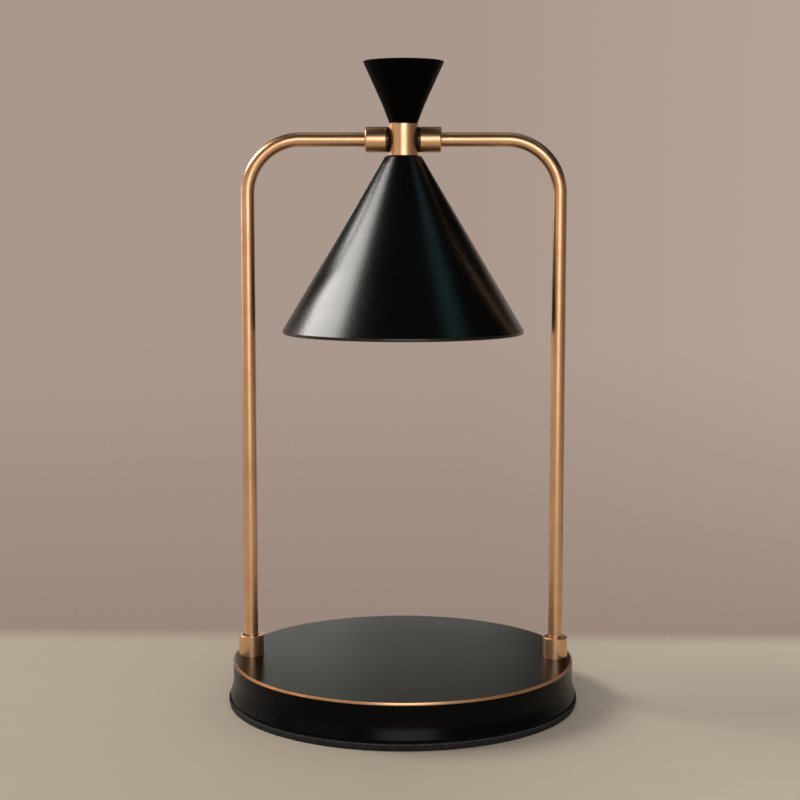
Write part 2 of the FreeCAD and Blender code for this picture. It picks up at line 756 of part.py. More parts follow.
def finial_screw():
    """Slotted pan-head screw down the middle of the finial cup."""
    bottom = barrel_top - finial_thread
    seat = finial_seat - bottom
    top = seat + finial_head_height
    screw = lathe([
        (0, 0), (finial_screw_radius, 0), (finial_screw_radius, seat), (finial_head_radius, seat),
        (finial_head_radius, top, finial_head_round), (0, top)], on_axis(0, bottom))
    return screw.cut(driver_slot(2 * finial_head_radius, finial_slot_width, finial_head_height / 2,
                                 on_axis(0, bottom + top)))


def shade():
    """Spun cone with a flat ceiling, a rounded shoulder and a hem turned in round its rim."""
    hem = shade_hem_height - shade_height
    hem_inner = shade_rim_radius - shade_hem_width
    hole = nipple_radius + screw_play
    ceiling_radius = shade_top_radius + shade_slope * shade_ceiling - shade_side_wall
    return lathe([
        (hole, 0), (shade_top_radius, 0, shade_shoulder), (shade_rim_radius, hem),
        (shade_rim_radius, -shade_height, shade_hem_round), (hem_inner, -shade_height, shade_hem_round),
        (hem_inner, hem), (shade_rim_radius - shade_side_wall, hem),
        (ceiling_radius, -shade_ceiling, shade_inner_round), (hole, -shade_ceiling)], on_axis(0, shade_top))


def lamp_nipple():
    """Hollow threaded nipple from the barrel down to the holder's strap."""
    length = nipple_top - nipple_bottom
    return tube(nipple_radius, nipple_radius - nipple_wall, length, on_axis(0, nipple_bottom))


def lock_washer():
    """Split washer between the shade's ceiling and its nut."""
    outer = nipple_radius + lock_washer_rim
    bottom = shade_top - shade_ceiling - lock_washer_thickness
    ring = tube(outer, nipple_radius + fit, lock_washer_thickness, on_axis(0, bottom))
    return ring.cut(Part.makeBox(outer, lock_washer_slit, lock_washer_thickness,
                                 Vector(0, -lock_washer_slit / 2, bottom)))


def nipple_nuts():
    """Nuts on the nipple: one clamps the shade, two clamp the strap."""
    under_shade = shade_top - shade_ceiling - lock_washer_thickness
    lows = (under_shade - nut_height, strap_top, strap_bottom - nut_height)
    return [hex_nut(nut_flats, nipple_radius + fit, nut_height, on_axis(0, low)) for low in lows]


def holder_strap():
    """Steel strap that hangs the ceramic holder from the nipple."""
    strap = Part.makeBox(2 * strap_half_length, strap_width, strap_thickness,
                         Vector(-strap_half_length, -strap_width / 2, strap_bottom))
    upright = [edge for edge in strap.Edges if edge.Length < strap_thickness + fit]
    strap = strap.makeFillet(strap_round, upright)
    strap = strap.cut(rod(nipple_radius + fit, strap_thickness, on_axis(0, strap_bottom)))
    for side in SIDES.values():
        strap = strap.cut(rod(strap_screw_radius + screw_play, strap_thickness,
                              on_axis(side * strap_screw_offset, strap_bottom)))
    return strap


def strap_screws():
    """Pan-head screws through the strap into the holder."""
    reach = strap_thickness + strap_screw_reach
    head = strap_screw_radius + strap_head_rim
    screws = []
    for side in SIDES.values():
        place = on_axis(side * strap_screw_offset, strap_top)
        screw = lathe([(0, -reach), (strap_screw_radius, -reach), (strap_screw_radius, 0), (head, 0),
                       (head, strap_head_height, strap_head_round), (0, strap_head_height)], place)
        screws.append(screw.cut(driver_slot(2 * head, strap_slot_width, strap_head_height / 2,
                                            place + UP * strap_head_height)))
    return screws


def lamp_holder():
    """Ceramic holder: wiring recess above, two keyhole slots with undercut chambers below."""
    holder = lathe([(0, holder_face), (holder_radius, holder_face, holder_round),
                    (holder_radius, strap_bottom, holder_round), (0, strap_bottom)])
    holder = holder.cut(rod(recess_radius, strap_bottom - recess_bottom, on_axis(0, recess_bottom)))
    screw_hole = strap_screw_reach + blind_spare
    for side in SIDES.values():
        holder = holder.cut(rod(strap_screw_radius + fit, screw_hole,
                                on_axis(side * strap_screw_offset, strap_bottom - screw_hole)))
    head_way = pin_head_radius + pin_clearance
    neck_way = pin_neck_radius + pin_clearance
    for locked in pin_angles:
        entry = locked - unlock_turn
        chamber = swept_slot(pin_circle, head_way, entry, locked, chamber_floor, chamber_height)
        neck_slot = swept_slot(pin_circle, neck_way, entry, locked, holder_face, web_thickness)
        head_hole = rod(head_way, web_thickness, polar(pin_circle, entry, holder_face))
        core_hole = rod(core_radius + core_play, recess_floor, polar(pin_circle, locked, chamber_roof))
        holder = holder.cut([chamber, neck_slot, head_hole, core_hole])
    return holder


def holder_contacts():
    """Brass contact pads over the locked pins, each on a post from the chamber's roof."""
    pad_bottom = bulb_seat + pin_neck_length + pin_head_length + contact_gap
    contacts = []
    for angle in pin_angles:
        place = polar(pin_circle, angle, pad_bottom)
        pad = rod(pin_head_radius - contact_inset, contact_thickness, place)
        post = rod(core_radius + contact_post_wall, chamber_roof - pad_bottom, place)
        contacts.append(pad.fuse(post).removeSplitter())
    return contacts


# ---------------------------------------------------------------- bulb pieces
def bulb_base():
    """Bevelled ceramic base with the burner's socket."""
    socket = burner_radius + fit
    shoulder = bulb_base_radius - bulb_base_bevel
    return lathe([
        (0, bulb_seat), (shoulder, bulb_seat, bulb_round),
        (bulb_base_radius, bulb_seat - bulb_base_bevel, bulb_round),
        (bulb_base_radius, bulb_neck, bulb_round), (socket, bulb_neck),
        (socket, bulb_neck + burner_socket), (0, bulb_neck + burner_socket)])


def bulb_pins():
    """Two locking pins with mushroom heads."""
    top = pin_neck_length + pin_head_length
    return [lathe([
        (0, 0), (pin_neck_radius, 0), (pin_neck_radius, pin_neck_length),
        (pin_head_radius, pin_neck_length, pin_neck_round), (pin_head_radius, top, pin_head_round),
        (0, top)], polar(pin_circle, angle, bulb_seat)) for angle in pin_angles]


def bulb_reflector():
    """Flared glass reflector with an upright rim and a ledge for the front glass."""
    rim = bulb_front + bulb_rim_height
    ledge = bulb_front + front_glass_recess + front_glass_thickness
    swell_radius = bulb_neck_radius + (bulb_radius - bulb_neck_radius) * bulb_swell_share
    swell_height = bulb_neck - (bulb_neck - rim) * bulb_swell_drop
    inner = bulb_radius - bulb_glass
    return lathe([
        (bulb_neck_radius - bulb_glass, bulb_neck), (bulb_neck_radius, bulb_neck),
        (swell_radius, swell_height, bulb_swell_round), (bulb_radius, rim, bulb_round),
        (bulb_radius, bulb_front, bulb_round), (inner, bulb_front), (inner, ledge),
        (inner - front_glass_ledge, ledge),
        (swell_radius - bulb_glass, swell_height - bulb_glass, bulb_swell_round - bulb_glass)])


def bulb_front_glass():
    """Front glass in the reflector's ledge."""
    radius = bulb_radius - bulb_glass - front_glass_play
    return lathe([(0, 0), (radius, 0, bulb_round), (radius, front_glass_thickness),
                  (0, front_glass_thickness)], on_axis(0, bulb_front + front_glass_recess))


def bulb_burner():
    """Quartz burner with a domed tip, seated in the base's socket."""
    length = burner_reach + burner_socket
    return lathe([(0, 0), (burner_radius, 0, burner_dome), (burner_radius, length), (0, length)],
                 on_axis(0, bulb_neck - burner_reach))


# ---------------------------------------------------------------- leads
def frame_lead():
    """Two-core lead from the terminal block, under the ballast, up the left leg and across to the hub."""
    leg = half_span * SIDES["left"]
    start = terminal_front - core_fan
    lead = bar_along([
        (Vector(0, start, pole_height), 0), (Vector(0, 0, pole_height), base_turn_radius),
        (on_axis(leg, pole_height), leg_turn_radius), (on_axis(leg, axis_height), bend_radius),
        (on_axis(-lead_joint - running_clearance, axis_height), 0)], lead_radius)
    for side in SIDES.values():
        near, far = side * lead_radius / 2, side * pole_pitch / 2
        core = bar_along([
            (Vector(near, start - sheath_lap, pole_height), 0),
            (Vector(near, start + core_bend, pole_height), core_bend),
            (Vector(far, terminal_front - core_bend, pole_height), core_bend),
            (Vector(far, terminal_front + core_bite, pole_height), 0)], core_radius)
        lead = lead.fuse(core)
    return lead.removeSplitter()


def head_lead():
    """The same lead in the head: round a tight bend, down the nipple and out to both contacts."""
    end = nipple_bottom - sheath_setback
    lead = bar_along([(on_axis(-lead_joint, axis_height), 0), (on_axis(0, axis_height), hub_turn_radius),
                      (on_axis(0, end), 0)], lead_radius)
    low = recess_bottom + core_bend
    for angle in pin_angles:
        near, far = polar(lead_radius / 2, angle, 0), polar(pin_circle, angle, 0)
        core = bar_along([
            (near + UP * (end + sheath_lap), 0), (near + UP * (end - core_bend), core_bend),
            (far + UP * low, core_bend), (far + UP * chamber_roof, 0)], core_radius)
        lead = lead.fuse(core)
    return lead.removeSplitter()


def main():
    """Builds and writes every node."""
    os.makedirs("parts", exist_ok=True)
    save("base_shell", base_shell())
    save("edge_trim_ring", edge_trim_ring())
    save("foot_pad", foot_pad())
    save("base_cover", base_cover())
    save("cover_screws", *cover_screws())
    save("cover_standoffs", *cover_standoffs())
    save("ballast_plate", ballast_plate())
    save("cord_grommet", cord_grommet())
    save("terminal_block", terminal_block())
    save("clamp_sleeves", *clamp_sleeves())
    save("clamp_screws", *clamp_screws())
    save("terminal_screw", terminal_screw())
    for word, side in SIDES.items():
        save(f"frame_tube_{word}", frame_tube(side))
        save(f"leg_ferrule_{word}", leg_ferrule(side))
        save(f"pivot_washer_{word}", pivot_washer(side))
    save("leg_washers", *leg_washers())
    save("leg_nuts", *leg_nuts())
    save("hub_collar_left", hub_collar_left())
    save("hub_collar_right", hub_collar_right())
    save("hub_barrel", hub_barrel())
    save("tilt_stop_screw", tilt_stop_screw())
    save("finial_cup", finial_cup())
    save("finial_washer", finial_washer())
    save("finial_screw", finial_screw())
    save("shade", shade())
    save("lamp_nipple", lamp_nipple())
    save("lock_washer", lock_washer())
    save("nipple_nuts", *nipple_nuts())
    save("holder_strap", holder_strap())
    save("strap_screws", *strap_screws())
    save("lamp_holder", lamp_holder())
    save("holder_contacts", *holder_contacts())
    save("bulb_base", bulb_base())
    save("bulb_pins", *bulb_pins())
    save("bulb_reflector", bulb_reflector())
    save("bulb_front_glass", bulb_front_glass())
    save("bulb_burner", bulb_burner())
    save("frame_lead", frame_lead())
    save("head_lead", head_lead())
    print(f"base top {base_top:.2f}, pivot {axis_height:.2f}, shade rim {shade_rim:.2f}")
    print(f"holder face {holder_face:.2f}, bulb front {bulb_front:.2f}, top {barrel_top + finial_height:.2f}")


main()
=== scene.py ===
"""Looks of the candle warmer lamp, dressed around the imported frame.

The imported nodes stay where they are. Pieces that need more than the frame's plain surfaces are built here as
meshes, and every node and piece gets a finish made of shader nodes. Sizes in the classes are in millimetres.
"""

import json
import logging
import math
from dataclasses import dataclass
from enum import Enum

import bmesh
import bpy
from mathutils import Matrix, Quaternion, Vector, noise


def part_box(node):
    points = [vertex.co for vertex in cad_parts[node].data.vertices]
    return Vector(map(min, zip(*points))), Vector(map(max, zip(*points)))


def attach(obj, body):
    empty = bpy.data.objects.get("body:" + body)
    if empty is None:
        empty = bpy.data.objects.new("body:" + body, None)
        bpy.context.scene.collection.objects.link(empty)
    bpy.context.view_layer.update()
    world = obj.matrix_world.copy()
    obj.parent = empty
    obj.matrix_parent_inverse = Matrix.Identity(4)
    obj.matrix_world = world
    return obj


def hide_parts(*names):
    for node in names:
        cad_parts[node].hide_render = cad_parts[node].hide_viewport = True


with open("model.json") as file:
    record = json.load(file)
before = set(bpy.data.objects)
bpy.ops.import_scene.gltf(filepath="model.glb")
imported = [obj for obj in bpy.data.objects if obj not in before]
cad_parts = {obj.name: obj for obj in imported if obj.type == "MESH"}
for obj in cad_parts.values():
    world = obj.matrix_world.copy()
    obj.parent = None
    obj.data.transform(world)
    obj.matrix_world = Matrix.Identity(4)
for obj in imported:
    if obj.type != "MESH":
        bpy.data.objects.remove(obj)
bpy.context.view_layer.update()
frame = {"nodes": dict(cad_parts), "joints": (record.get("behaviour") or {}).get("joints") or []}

MM = 0.001
LOG = logging.getLogger("candle_warmer_lamp")
HUB_MIDDLE = tuple(frame["joints"][0]["pos_m"])
GRAIN = "grain"  # the mesh attribute that carries the run of the polishing marks
GRAIN_STRETCH = 60.0  # how many times longer than wide the marks are
ON_AXIS = 1e-6  # a radius below this is a point on the axis
FINE_STEPS = 10  # pieces in a rounded corner that shows
Number = int | float
Colour = tuple[float, float, float]
Axes = tuple[float, float, float]
Corner = tuple[float, ...]


def srgb(red: int, green: int, blue: int) -> Colour:
    """Turns a display colour from 0 to 255 into the linear values that shaders take.

    Args:
        red: Red from 0 to 255.
        green: Green from 0 to 255.
        blue: Blue from 0 to 255.

    Returns:
        The linear colour.
    """
    def linear(value: float) -> float:
        """One channel."""
        share = value / 255
        return share / 12.92 if share <= 0.04045 else ((share + 0.055) / 1.055) ** 2.4

    return linear(red), linear(green), linear(blue)


# ---------------------------------------------------------------- shader graphs
class Signal:
    """One output socket of a finish, used in sums like a number."""

    def __init__(self, graph: "Graph", socket: bpy.types.NodeSocket) -> None:
        """Wraps a socket of a graph."""
        self.graph = graph
        self.socket = socket

    def __add__(self, other: "Signal | Number") -> "Signal":
        """self + other."""
        return self.graph.maths("ADD", self, other)

    def __radd__(self, other: Number) -> "Signal":
        """other + self."""
        return self.graph.maths("ADD", other, self)

    def __sub__(self, other: "Signal | Number") -> "Signal":
        """self - other."""
        return self.graph.maths("SUBTRACT", self, other)

    def __rsub__(self, other: Number) -> "Signal":
        """other - self."""
        return self.graph.maths("SUBTRACT", other, self)

    def __mul__(self, other: "Signal | Number") -> "Signal":
        """self * other."""
        return self.graph.maths("MULTIPLY", self, other)

    def __rmul__(self, other: Number) -> "Signal":
        """other * self."""
        return self.graph.maths("MULTIPLY", other, self)

    def __truediv__(self, other: "Signal | Number") -> "Signal":
        """self / other."""
        return self.graph.maths("DIVIDE", self, other)

    def __rtruediv__(self, other: Number) -> "Signal":
        """other / self."""
        return self.graph.maths("DIVIDE", other, self)

    def __pow__(self, other: "Signal | Number") -> "Signal":
        """self to the power other."""
        return self.graph.maths("POWER", self, other)

    def __rpow__(self, other: Number) -> "Signal":
        """other to the power self."""
        return self.graph.maths("POWER", other, self)

    def beside(self, output: str) -> "Signal":
        """Another output of the same node."""
        return Signal(self.graph, self.socket.node.outputs[output])


class Graph:
    """Builds the shader nodes of one material or world."""

    def __init__(self, tree: bpy.types.NodeTree) -> None:
        """Empties a node tree and starts a new graph in it."""
        tree.nodes.clear()
        self.tree = tree

    def add(self, kind: str, settings: dict[str, object] | None = None,
            sockets: dict[str | int, object] | None = None, output: str | int = 0) -> Signal:
        """Adds one node: its settings are set first, then the values or links of its sockets.

        Args:
            kind: Blender's name of the node type.
            settings: Properties of the node; stops is a colour ramp's list of (place, colour).
            sockets: Values or signals by the name, identifier or number of the input.
            output: Name or number of the output to hand back.

        Returns:
            The chosen output.
        """
        node = self.tree.nodes.new(kind)
        for key, value in (settings or {}).items():
            if key == "stops":
                self._set_stops(node.color_ramp, value)
            else:
                setattr(node, key, value)
        by_identifier = {socket.identifier: socket for socket in node.inputs}
        for key, value in (sockets or {}).items():
            socket = node.inputs[key] if isinstance(key, int) else by_identifier.get(key) or node.inputs[key]
            if isinstance(value, Signal):
                self.tree.links.new(value.socket, socket)
            elif isinstance(value, tuple) and len(value) == 3 and len(socket.default_value) == 4:
                socket.default_value = (*value, 1.0)
            else:
                socket.default_value = value
        if not len(node.outputs):
            return Signal(self, None)
        return Signal(self, node.outputs[output])

    @staticmethod
    def _set_stops(ramp: bpy.types.ColorRamp, stops: list[tuple[float, float]]) -> None:
        """Sets a grey ramp's stops, each a place and a value.

        Args:
            ramp: The ramp to set.
            stops: The place and the value of each stop, in order.
        """
        while len(ramp.elements) < len(stops):
            ramp.elements.new(1.0)
        for element, (place, value) in zip(ramp.elements, stops):
            element.position = place
            element.color = (value, value, value, 1.0)

    def maths(self, operation: str, *values: "Signal | Number") -> Signal:
        """Adds one Math node on values."""
        return self.add("ShaderNodeMath", {"operation": operation}, dict(enumerate(values)))

    def place(self) -> Signal:
        """Coordinates of the piece itself, in metres, which ride with it."""
        return self.add("ShaderNodeTexCoord", output="Object")

    def moved(self, vector: Signal, by: Axes) -> Signal:
        """A vector less a fixed one."""
        return self.add("ShaderNodeVectorMath", {"operation": "SUBTRACT"}, {0: vector, 1: by})

    def stretched(self, vector: Signal, by: Axes) -> Signal:
        """A vector times a fixed one, axis by axis."""
        return self.add("ShaderNodeVectorMath", {"operation": "MULTIPLY"}, {0: vector, 1: by})

    def grainy(self, vector: Signal, scale: float, detail: float = 2.0, rough: float = 0.5) -> Signal:
        """Soft noise from 0 to 1 with features of about 1 / scale metres."""
        return self.add("ShaderNodeTexNoise", {"noise_dimensions": "3D"},
                        {"Vector": vector, "Scale": scale, "Detail": detail, "Roughness": rough}, "Fac")

    def cells(self, vector: Signal, scale: float) -> Signal:
        """Distance to the nearest of scattered points, from 0 at a point."""
        return self.add("ShaderNodeTexVoronoi", {"feature": "F1"},
                        {"Vector": vector, "Scale": scale}, "Distance")

    def ramp(self, value: Signal, *stops: tuple[float, float]) -> Signal:
        """A value put through a grey ramp."""
        return self.add("ShaderNodeValToRGB", {"stops": list(stops)}, {"Fac": value})

    def mixed(self, share: Signal, first: "Colour | Signal", second: "Colour | Signal") -> Signal:
        """A colour between two others."""
        return self.add("ShaderNodeMix", {"data_type": "RGBA"},
                        {"Factor_Float": share, "A_Color": first, "B_Color": second}, 2)

    def bumped(self, height: Signal, depth_mm: float, strength: float = 1.0) -> Signal:
        """A normal pushed by a height signal whose full range is depth_mm."""
        return self.add("ShaderNodeBump", None,
                        {"Height": height, "Distance": depth_mm * MM, "Strength": strength})

    def surface(self, **sockets: object) -> None:
        """Ends the graph in a Principled shader; underscores in the names stand for spaces.

        Args:
            sockets: Values or signals by the name of the input.
        """
        named = {key.replace("_", " "): value for key, value in sockets.items()}
        shader = self.add("ShaderNodeBsdfPrincipled", None, named)
        self.add("ShaderNodeOutputMaterial", None, {"Surface": shader})


# ---------------------------------------------------------------- finishes
@dataclass(frozen=True)
class Finish:
    """A named surface finish. Each kind says how its own graph is drawn."""

    name: str

    def draw(self, graph: Graph) -> None:
        """Draws the finish's shader nodes."""
        raise NotImplementedError

    def material(self) -> bpy.types.Material:
        """The finish as a Blender material, made once and then shared.

        Returns:
            The material.
        """
        name = f"finish_{self.name}"
        made = bpy.data.materials.get(name)
        if made is None:
            made = bpy.data.materials.new(name)
            made.use_nodes = True
            self.draw(Graph(made.node_tree))
        return made


@dataclass(frozen=True)
class SatinBlackCoat(Finish):
    """Baked satin black paint over pressed or spun steel, with a fine powder texture."""

    name: str = "satin_black_coat"
    colour: Colour = (0.0014, 0.0014, 0.0013)
    faded: Colour = (0.0044, 0.0042, 0.0039)
    roughness: float = 0.38
    ior: float = 1.36
    ring_marks: float = 0.0
    unevenness: float = 0.12
    streaks: Axes = (1.0, 1.0, 1.0)

    def draw(self, graph: Graph) -> None:
        """Powder texture, slow changes of gloss and a few paler specks.

        Args:
            graph: The graph to draw in.
        """
        place = graph.place()
        powder = graph.grainy(place, scale=2600, detail=2.0, rough=0.6)
        peel = graph.grainy(place, scale=380, detail=3.0)
        cloud = graph.grainy(graph.stretched(place, self.streaks), scale=24, detail=4.0, rough=0.6)
        speck = graph.ramp(graph.grainy(place, scale=1500, detail=1.0), (0.66, 0.0), (0.78, 1.0))
        shade = graph.ramp(cloud, (0.35, 0.0), (0.7, 0.6)) + speck * 0.4
        height = powder * 0.55 + peel * 0.45
        if self.ring_marks:
            height = height + self._rings(graph, place) * self.ring_marks
        graph.surface(
            Base_Color=graph.mixed(shade, self.colour, self.faded),
            Roughness=self.roughness + (cloud - 0.5) * self.unevenness + (powder - 0.5) * 0.08,
            IOR=self.ior,
            Normal=graph.bumped(height, depth_mm=0.012))

    @staticmethod
    def _rings(graph: Graph, place: Signal) -> Signal:
        """Faint rings that spinning leaves round an upright axis."""
        height = graph.stretched(place, (0.02, 0.02, 1.0))
        return graph.grainy(height, scale=900, detail=2.0)


class Lay(Enum):
    """Which way the polishing marks of a brass piece run."""

    ALONG = "along the tube"
    ROUND_UPRIGHT = "round an upright axis"
    ROUND_CROSSWISE = "round an axis along X"


@dataclass(frozen=True)
class AntiqueBrass(Finish):
    """Satin brass with a warm, slightly uneven patina and fine polishing marks."""

    name: str = "antique_brass"
    lay: Lay = Lay.ROUND_UPRIGHT
    middle: Axes = (0.0, 0.0, 0.0)
    bright: Colour = (0.92, 0.565, 0.305)
    brown: Colour = (0.60, 0.305, 0.135)
    roughness: float = 0.34
    lacquer: float = 0.8

    def _across(self, graph: Graph) -> Signal:
        """A vector that changes fast across the marks and slowly along them.

        Args:
            graph: The graph to draw in.

        Returns:
            The vector.
        """
        if self.lay is Lay.ALONG:
            return graph.add("ShaderNodeAttribute", {"attribute_name": GRAIN}, None, "Vector")
        place = graph.moved(graph.place(), self.middle)
        parts = graph.add("ShaderNodeSeparateXYZ", None, {"Vector": place}, "X")
        x, y, z = parts, parts.beside("Y"), parts.beside("Z")
        if self.lay is Lay.ROUND_CROSSWISE:
            x, y, z = y, z, x
        radius = (x * x + y * y) ** 0.5
        return graph.add("ShaderNodeCombineXYZ", None,
                         {"X": radius, "Y": x / GRAIN_STRETCH + y / GRAIN_STRETCH, "Z": z})

    def draw(self, graph: Graph) -> None:
        """Fine marks across the grain, with a patina in soft clouds.

        Args:
            graph: The graph to draw in.
        """
        across = self._across(graph)
        fine = graph.grainy(across, scale=5200, detail=3.0, rough=0.65)
        broad = graph.grainy(across, scale=900, detail=2.0)
        patina = graph.grainy(graph.place(), scale=70, detail=4.0, rough=0.62)
        tarnish = graph.ramp(patina, (0.34, 0.0), (0.72, 0.85)) * 0.55 + fine * 0.22 + broad * 0.2
        graph.surface(
            Base_Color=graph.mixed(tarnish, self.bright, self.brown),
            Metallic=1.0,
            Roughness=self.roughness + (fine - 0.5) * 0.1 + (patina - 0.5) * 0.16,
            Coat_Weight=self.lacquer - patina * 0.3,
            Coat_Roughness=0.2,
            Coat_IOR=1.65,
            Normal=graph.bumped(fine * 0.8 + broad * 0.2, depth_mm=0.0025))


@dataclass(frozen=True)
class OpenFoam(Finish):
    """Dark closed-cell foam with torn pores on its cut edge."""

    name: str = "foot_foam"
    colour: Colour = (0.008, 0.008, 0.0075)
    dusty: Colour = (0.034, 0.033, 0.030)
    # painted highlight: the paler colour of the upper edge stands in for light catching it
    painted_edge_highlight: Colour = (0.085, 0.082, 0.076)
    thickness: float = 0.0039

    def draw(self, graph: Graph) -> None:
        """Pores, crumbs and dust, with a painted highlight: a paler line along the upper edge.

        Args:
            graph: The graph to draw in.
        """
        place = graph.place()
        height = graph.add("ShaderNodeSeparateXYZ", None, {"Vector": place}, "Z") / self.thickness
        pores = graph.cells(place, scale=1500)
        crumbs = graph.grainy(place, scale=800, detail=4.0, rough=0.7)
        dust = graph.ramp(crumbs, (0.48, 0.0), (0.72, 1.0)) * graph.ramp(pores, (0.1, 0.2), (0.6, 1.0))
        # painted highlight: paler towards the top of the cut edge, placed by height
        edge = graph.ramp(height + (crumbs - 0.5) * 0.25, (0.62, 0.0), (0.85, 0.8))
        graph.surface(
            Base_Color=graph.mixed(edge, graph.mixed(dust, self.colour, self.dusty), self.painted_edge_highlight),
            Roughness=0.86 + pores * 0.12,
            Normal=graph.bumped(pores * 0.6 + crumbs, depth_mm=0.16))


@dataclass(frozen=True)
class PlatedSteel(Finish):
    """Zinc-plated steel: cool, mottled and dulled in places."""

    name: str = "zinc_plate"
    bright: Colour = (0.60, 0.61, 0.64)
    dull: Colour = (0.36, 0.37, 0.38)
    roughness: float = 0.34

    def draw(self, graph: Graph) -> None:
        """Spangle, cloudy dulling and fine scratches.

        Args:
            graph: The graph to draw in.
        """
        place = graph.place()
        spangle = graph.cells(place, scale=900)
        cloud = graph.grainy(place, scale=220, detail=4.0)
        scratch = graph.grainy(graph.stretched(place, (1.0, 0.12, 0.25)), scale=5200, detail=2.0)
        graph.surface(
            Base_Color=graph.mixed(cloud * 0.7 + spangle * 0.3, self.bright, self.dull),
            Metallic=1.0,
            Roughness=self.roughness + (cloud - 0.5) * 0.2 + (scratch - 0.5) * 0.1,
            Normal=graph.bumped(scratch + cloud * 0.4, depth_mm=0.005))


@dataclass(frozen=True)
class CastIron(Finish):
    """Sand-cast iron with a thin dark primer."""

    name: str = "cast_iron"
    colour: Colour = (0.045, 0.044, 0.043)
    rust: Colour = (0.11, 0.06, 0.035)

    def draw(self, graph: Graph) -> None:
        """Sand texture with a little rust bloom.

        Args:
            graph: The graph to draw in.
        """
        place = graph.place()
        sand = graph.grainy(place, scale=1100, detail=5.0, rough=0.7)
        bloom = graph.ramp(graph.grainy(place, scale=60, detail=5.0, rough=0.7), (0.55, 0.0), (0.75, 0.7))
        graph.surface(
            Base_Color=graph.mixed(bloom, self.colour, self.rust),
            Metallic=0.55,
            Roughness=0.62 + sand * 0.2,
            Normal=graph.bumped(sand, depth_mm=0.12))


@dataclass(frozen=True)
class Moulded(Finish):
    """Moulded rubber, nylon, or another plastic, with a fine spark-eroded skin."""

    name: str = "moulded"
    colour: Colour = (0.012, 0.012, 0.012)
    worn: Colour = (0.030, 0.030, 0.030)
    roughness: float = 0.5
    skin_depth: float = 0.015
    ior: float = 1.46

    def draw(self, graph: Graph) -> None:
        """Fine skin texture with rubbed patches.

        Args:
            graph: The graph to draw in.
        """
        place = graph.place()
        skin = graph.grainy(place, scale=3200, detail=2.0, rough=0.6)
        rubbed = graph.grainy(place, scale=160, detail=4.0, rough=0.6)
        wear = graph.ramp(rubbed, (0.4, 0.0), (0.75, 1.0))
        graph.surface(
            Base_Color=graph.mixed(wear, self.colour, self.worn),
            Roughness=self.roughness + (rubbed - 0.5) * 0.18,
            IOR=self.ior,
            Normal=graph.bumped(skin, self.skin_depth))


@dataclass(frozen=True)
class Ceramic(Finish):
    """Steatite ceramic, bare or glazed, with pin holes and iron specks."""

    name: str = "ceramic"
    colour: Colour = (0.80, 0.78, 0.72)
    stain: Colour = (0.58, 0.53, 0.45)
    roughness: float = 0.55
    glaze: float = 0.0

    def draw(self, graph: Graph) -> None:
        """Cream body with specks, a slow stain, and a glaze that pools unevenly.

        Args:
            graph: The graph to draw in.
        """
        place = graph.place()
        stain = graph.grainy(place, scale=120, detail=5.0, rough=0.65)
        speck = graph.ramp(graph.cells(place, scale=700), (0.05, 1.0), (0.13, 0.0))
        grit = graph.grainy(place, scale=2400, detail=3.0, rough=0.6)
        shade = graph.ramp(stain, (0.4, 0.0), (0.8, 0.6)) + speck * 0.35
        graph.surface(
            Base_Color=graph.mixed(shade, self.colour, self.stain),
            Roughness=self.roughness + (grit - 0.5) * 0.2,
            Coat_Weight=self.glaze * (0.8 + stain * 0.2),
            Coat_Roughness=0.08,
            Normal=graph.bumped(grit + stain * 0.5, depth_mm=0.02))


@dataclass(frozen=True)
class ClearGlass(Finish):
    """Pressed or quartz glass, very slightly wavy."""

    name: str = "clear_glass"
    tint: Colour = (0.97, 0.985, 0.98)
    clouded: Colour = (0.90, 0.92, 0.92)
    ripple: float = 0.01

    def draw(self, graph: Graph) -> None:
        """Waves of the pressing and a faint haze.

        Args:
            graph: The graph to draw in.
        """
        place = graph.place()
        wave = graph.grainy(place, scale=260, detail=2.0)
        haze = graph.grainy(place, scale=900, detail=3.0)
        graph.surface(
            Base_Color=graph.mixed(haze * 0.3, self.tint, self.clouded),
            Roughness=haze * 0.06,
            IOR=1.48,
            Transmission_Weight=1.0,
            Normal=graph.bumped(wave, self.ripple))


@dataclass(frozen=True)
class MirrorCoat(Finish):
    """Vapour-deposited mirror inside the reflector."""

    name: str = "mirror_coat"
    bright: Colour = (0.90, 0.89, 0.87)
    smoky: Colour = (0.62, 0.58, 0.55)

    def draw(self, graph: Graph) -> None:
        """Bright metal with a smoky haze in random clouds.

        Args:
            graph: The graph to draw in.
        """
        place = graph.place()
        smoke = graph.grainy(place, scale=130, detail=3.0)
        haze = graph.ramp(smoke, (0.4, 0.0), (0.8, 0.7))
        graph.surface(
            Base_Color=graph.mixed(haze, self.bright, self.smoky),
            Metallic=1.0,
            Roughness=0.07 + smoke * 0.1,
            Normal=graph.bumped(graph.grainy(place, scale=1400, detail=1.0), depth_mm=0.004))


@dataclass(frozen=True)
class ReflectorBack(Finish):
    """Outside of the reflector: glass over the coating, seen as a pearly grey-violet."""

    name: str = "reflector_back"
    pearl: Colour = (0.62, 0.60, 0.62)
    violet: Colour = (0.42, 0.38, 0.46)

    def draw(self, graph: Graph) -> None:
        """Soft change of hue under a glossy skin.

        Args:
            graph: The graph to draw in.
        """
        place = graph.place()
        hue = graph.grainy(place, scale=45, detail=2.0)
        grit = graph.grainy(place, scale=1900, detail=2.0)
        graph.surface(
            Base_Color=graph.mixed(hue, self.pearl, self.violet),
            Metallic=0.75,
            Roughness=0.24 + grit * 0.1,
            Coat_Weight=0.6 + hue * 0.2,
            Coat_Roughness=0.05,
            Normal=graph.bumped(grit, depth_mm=0.008))


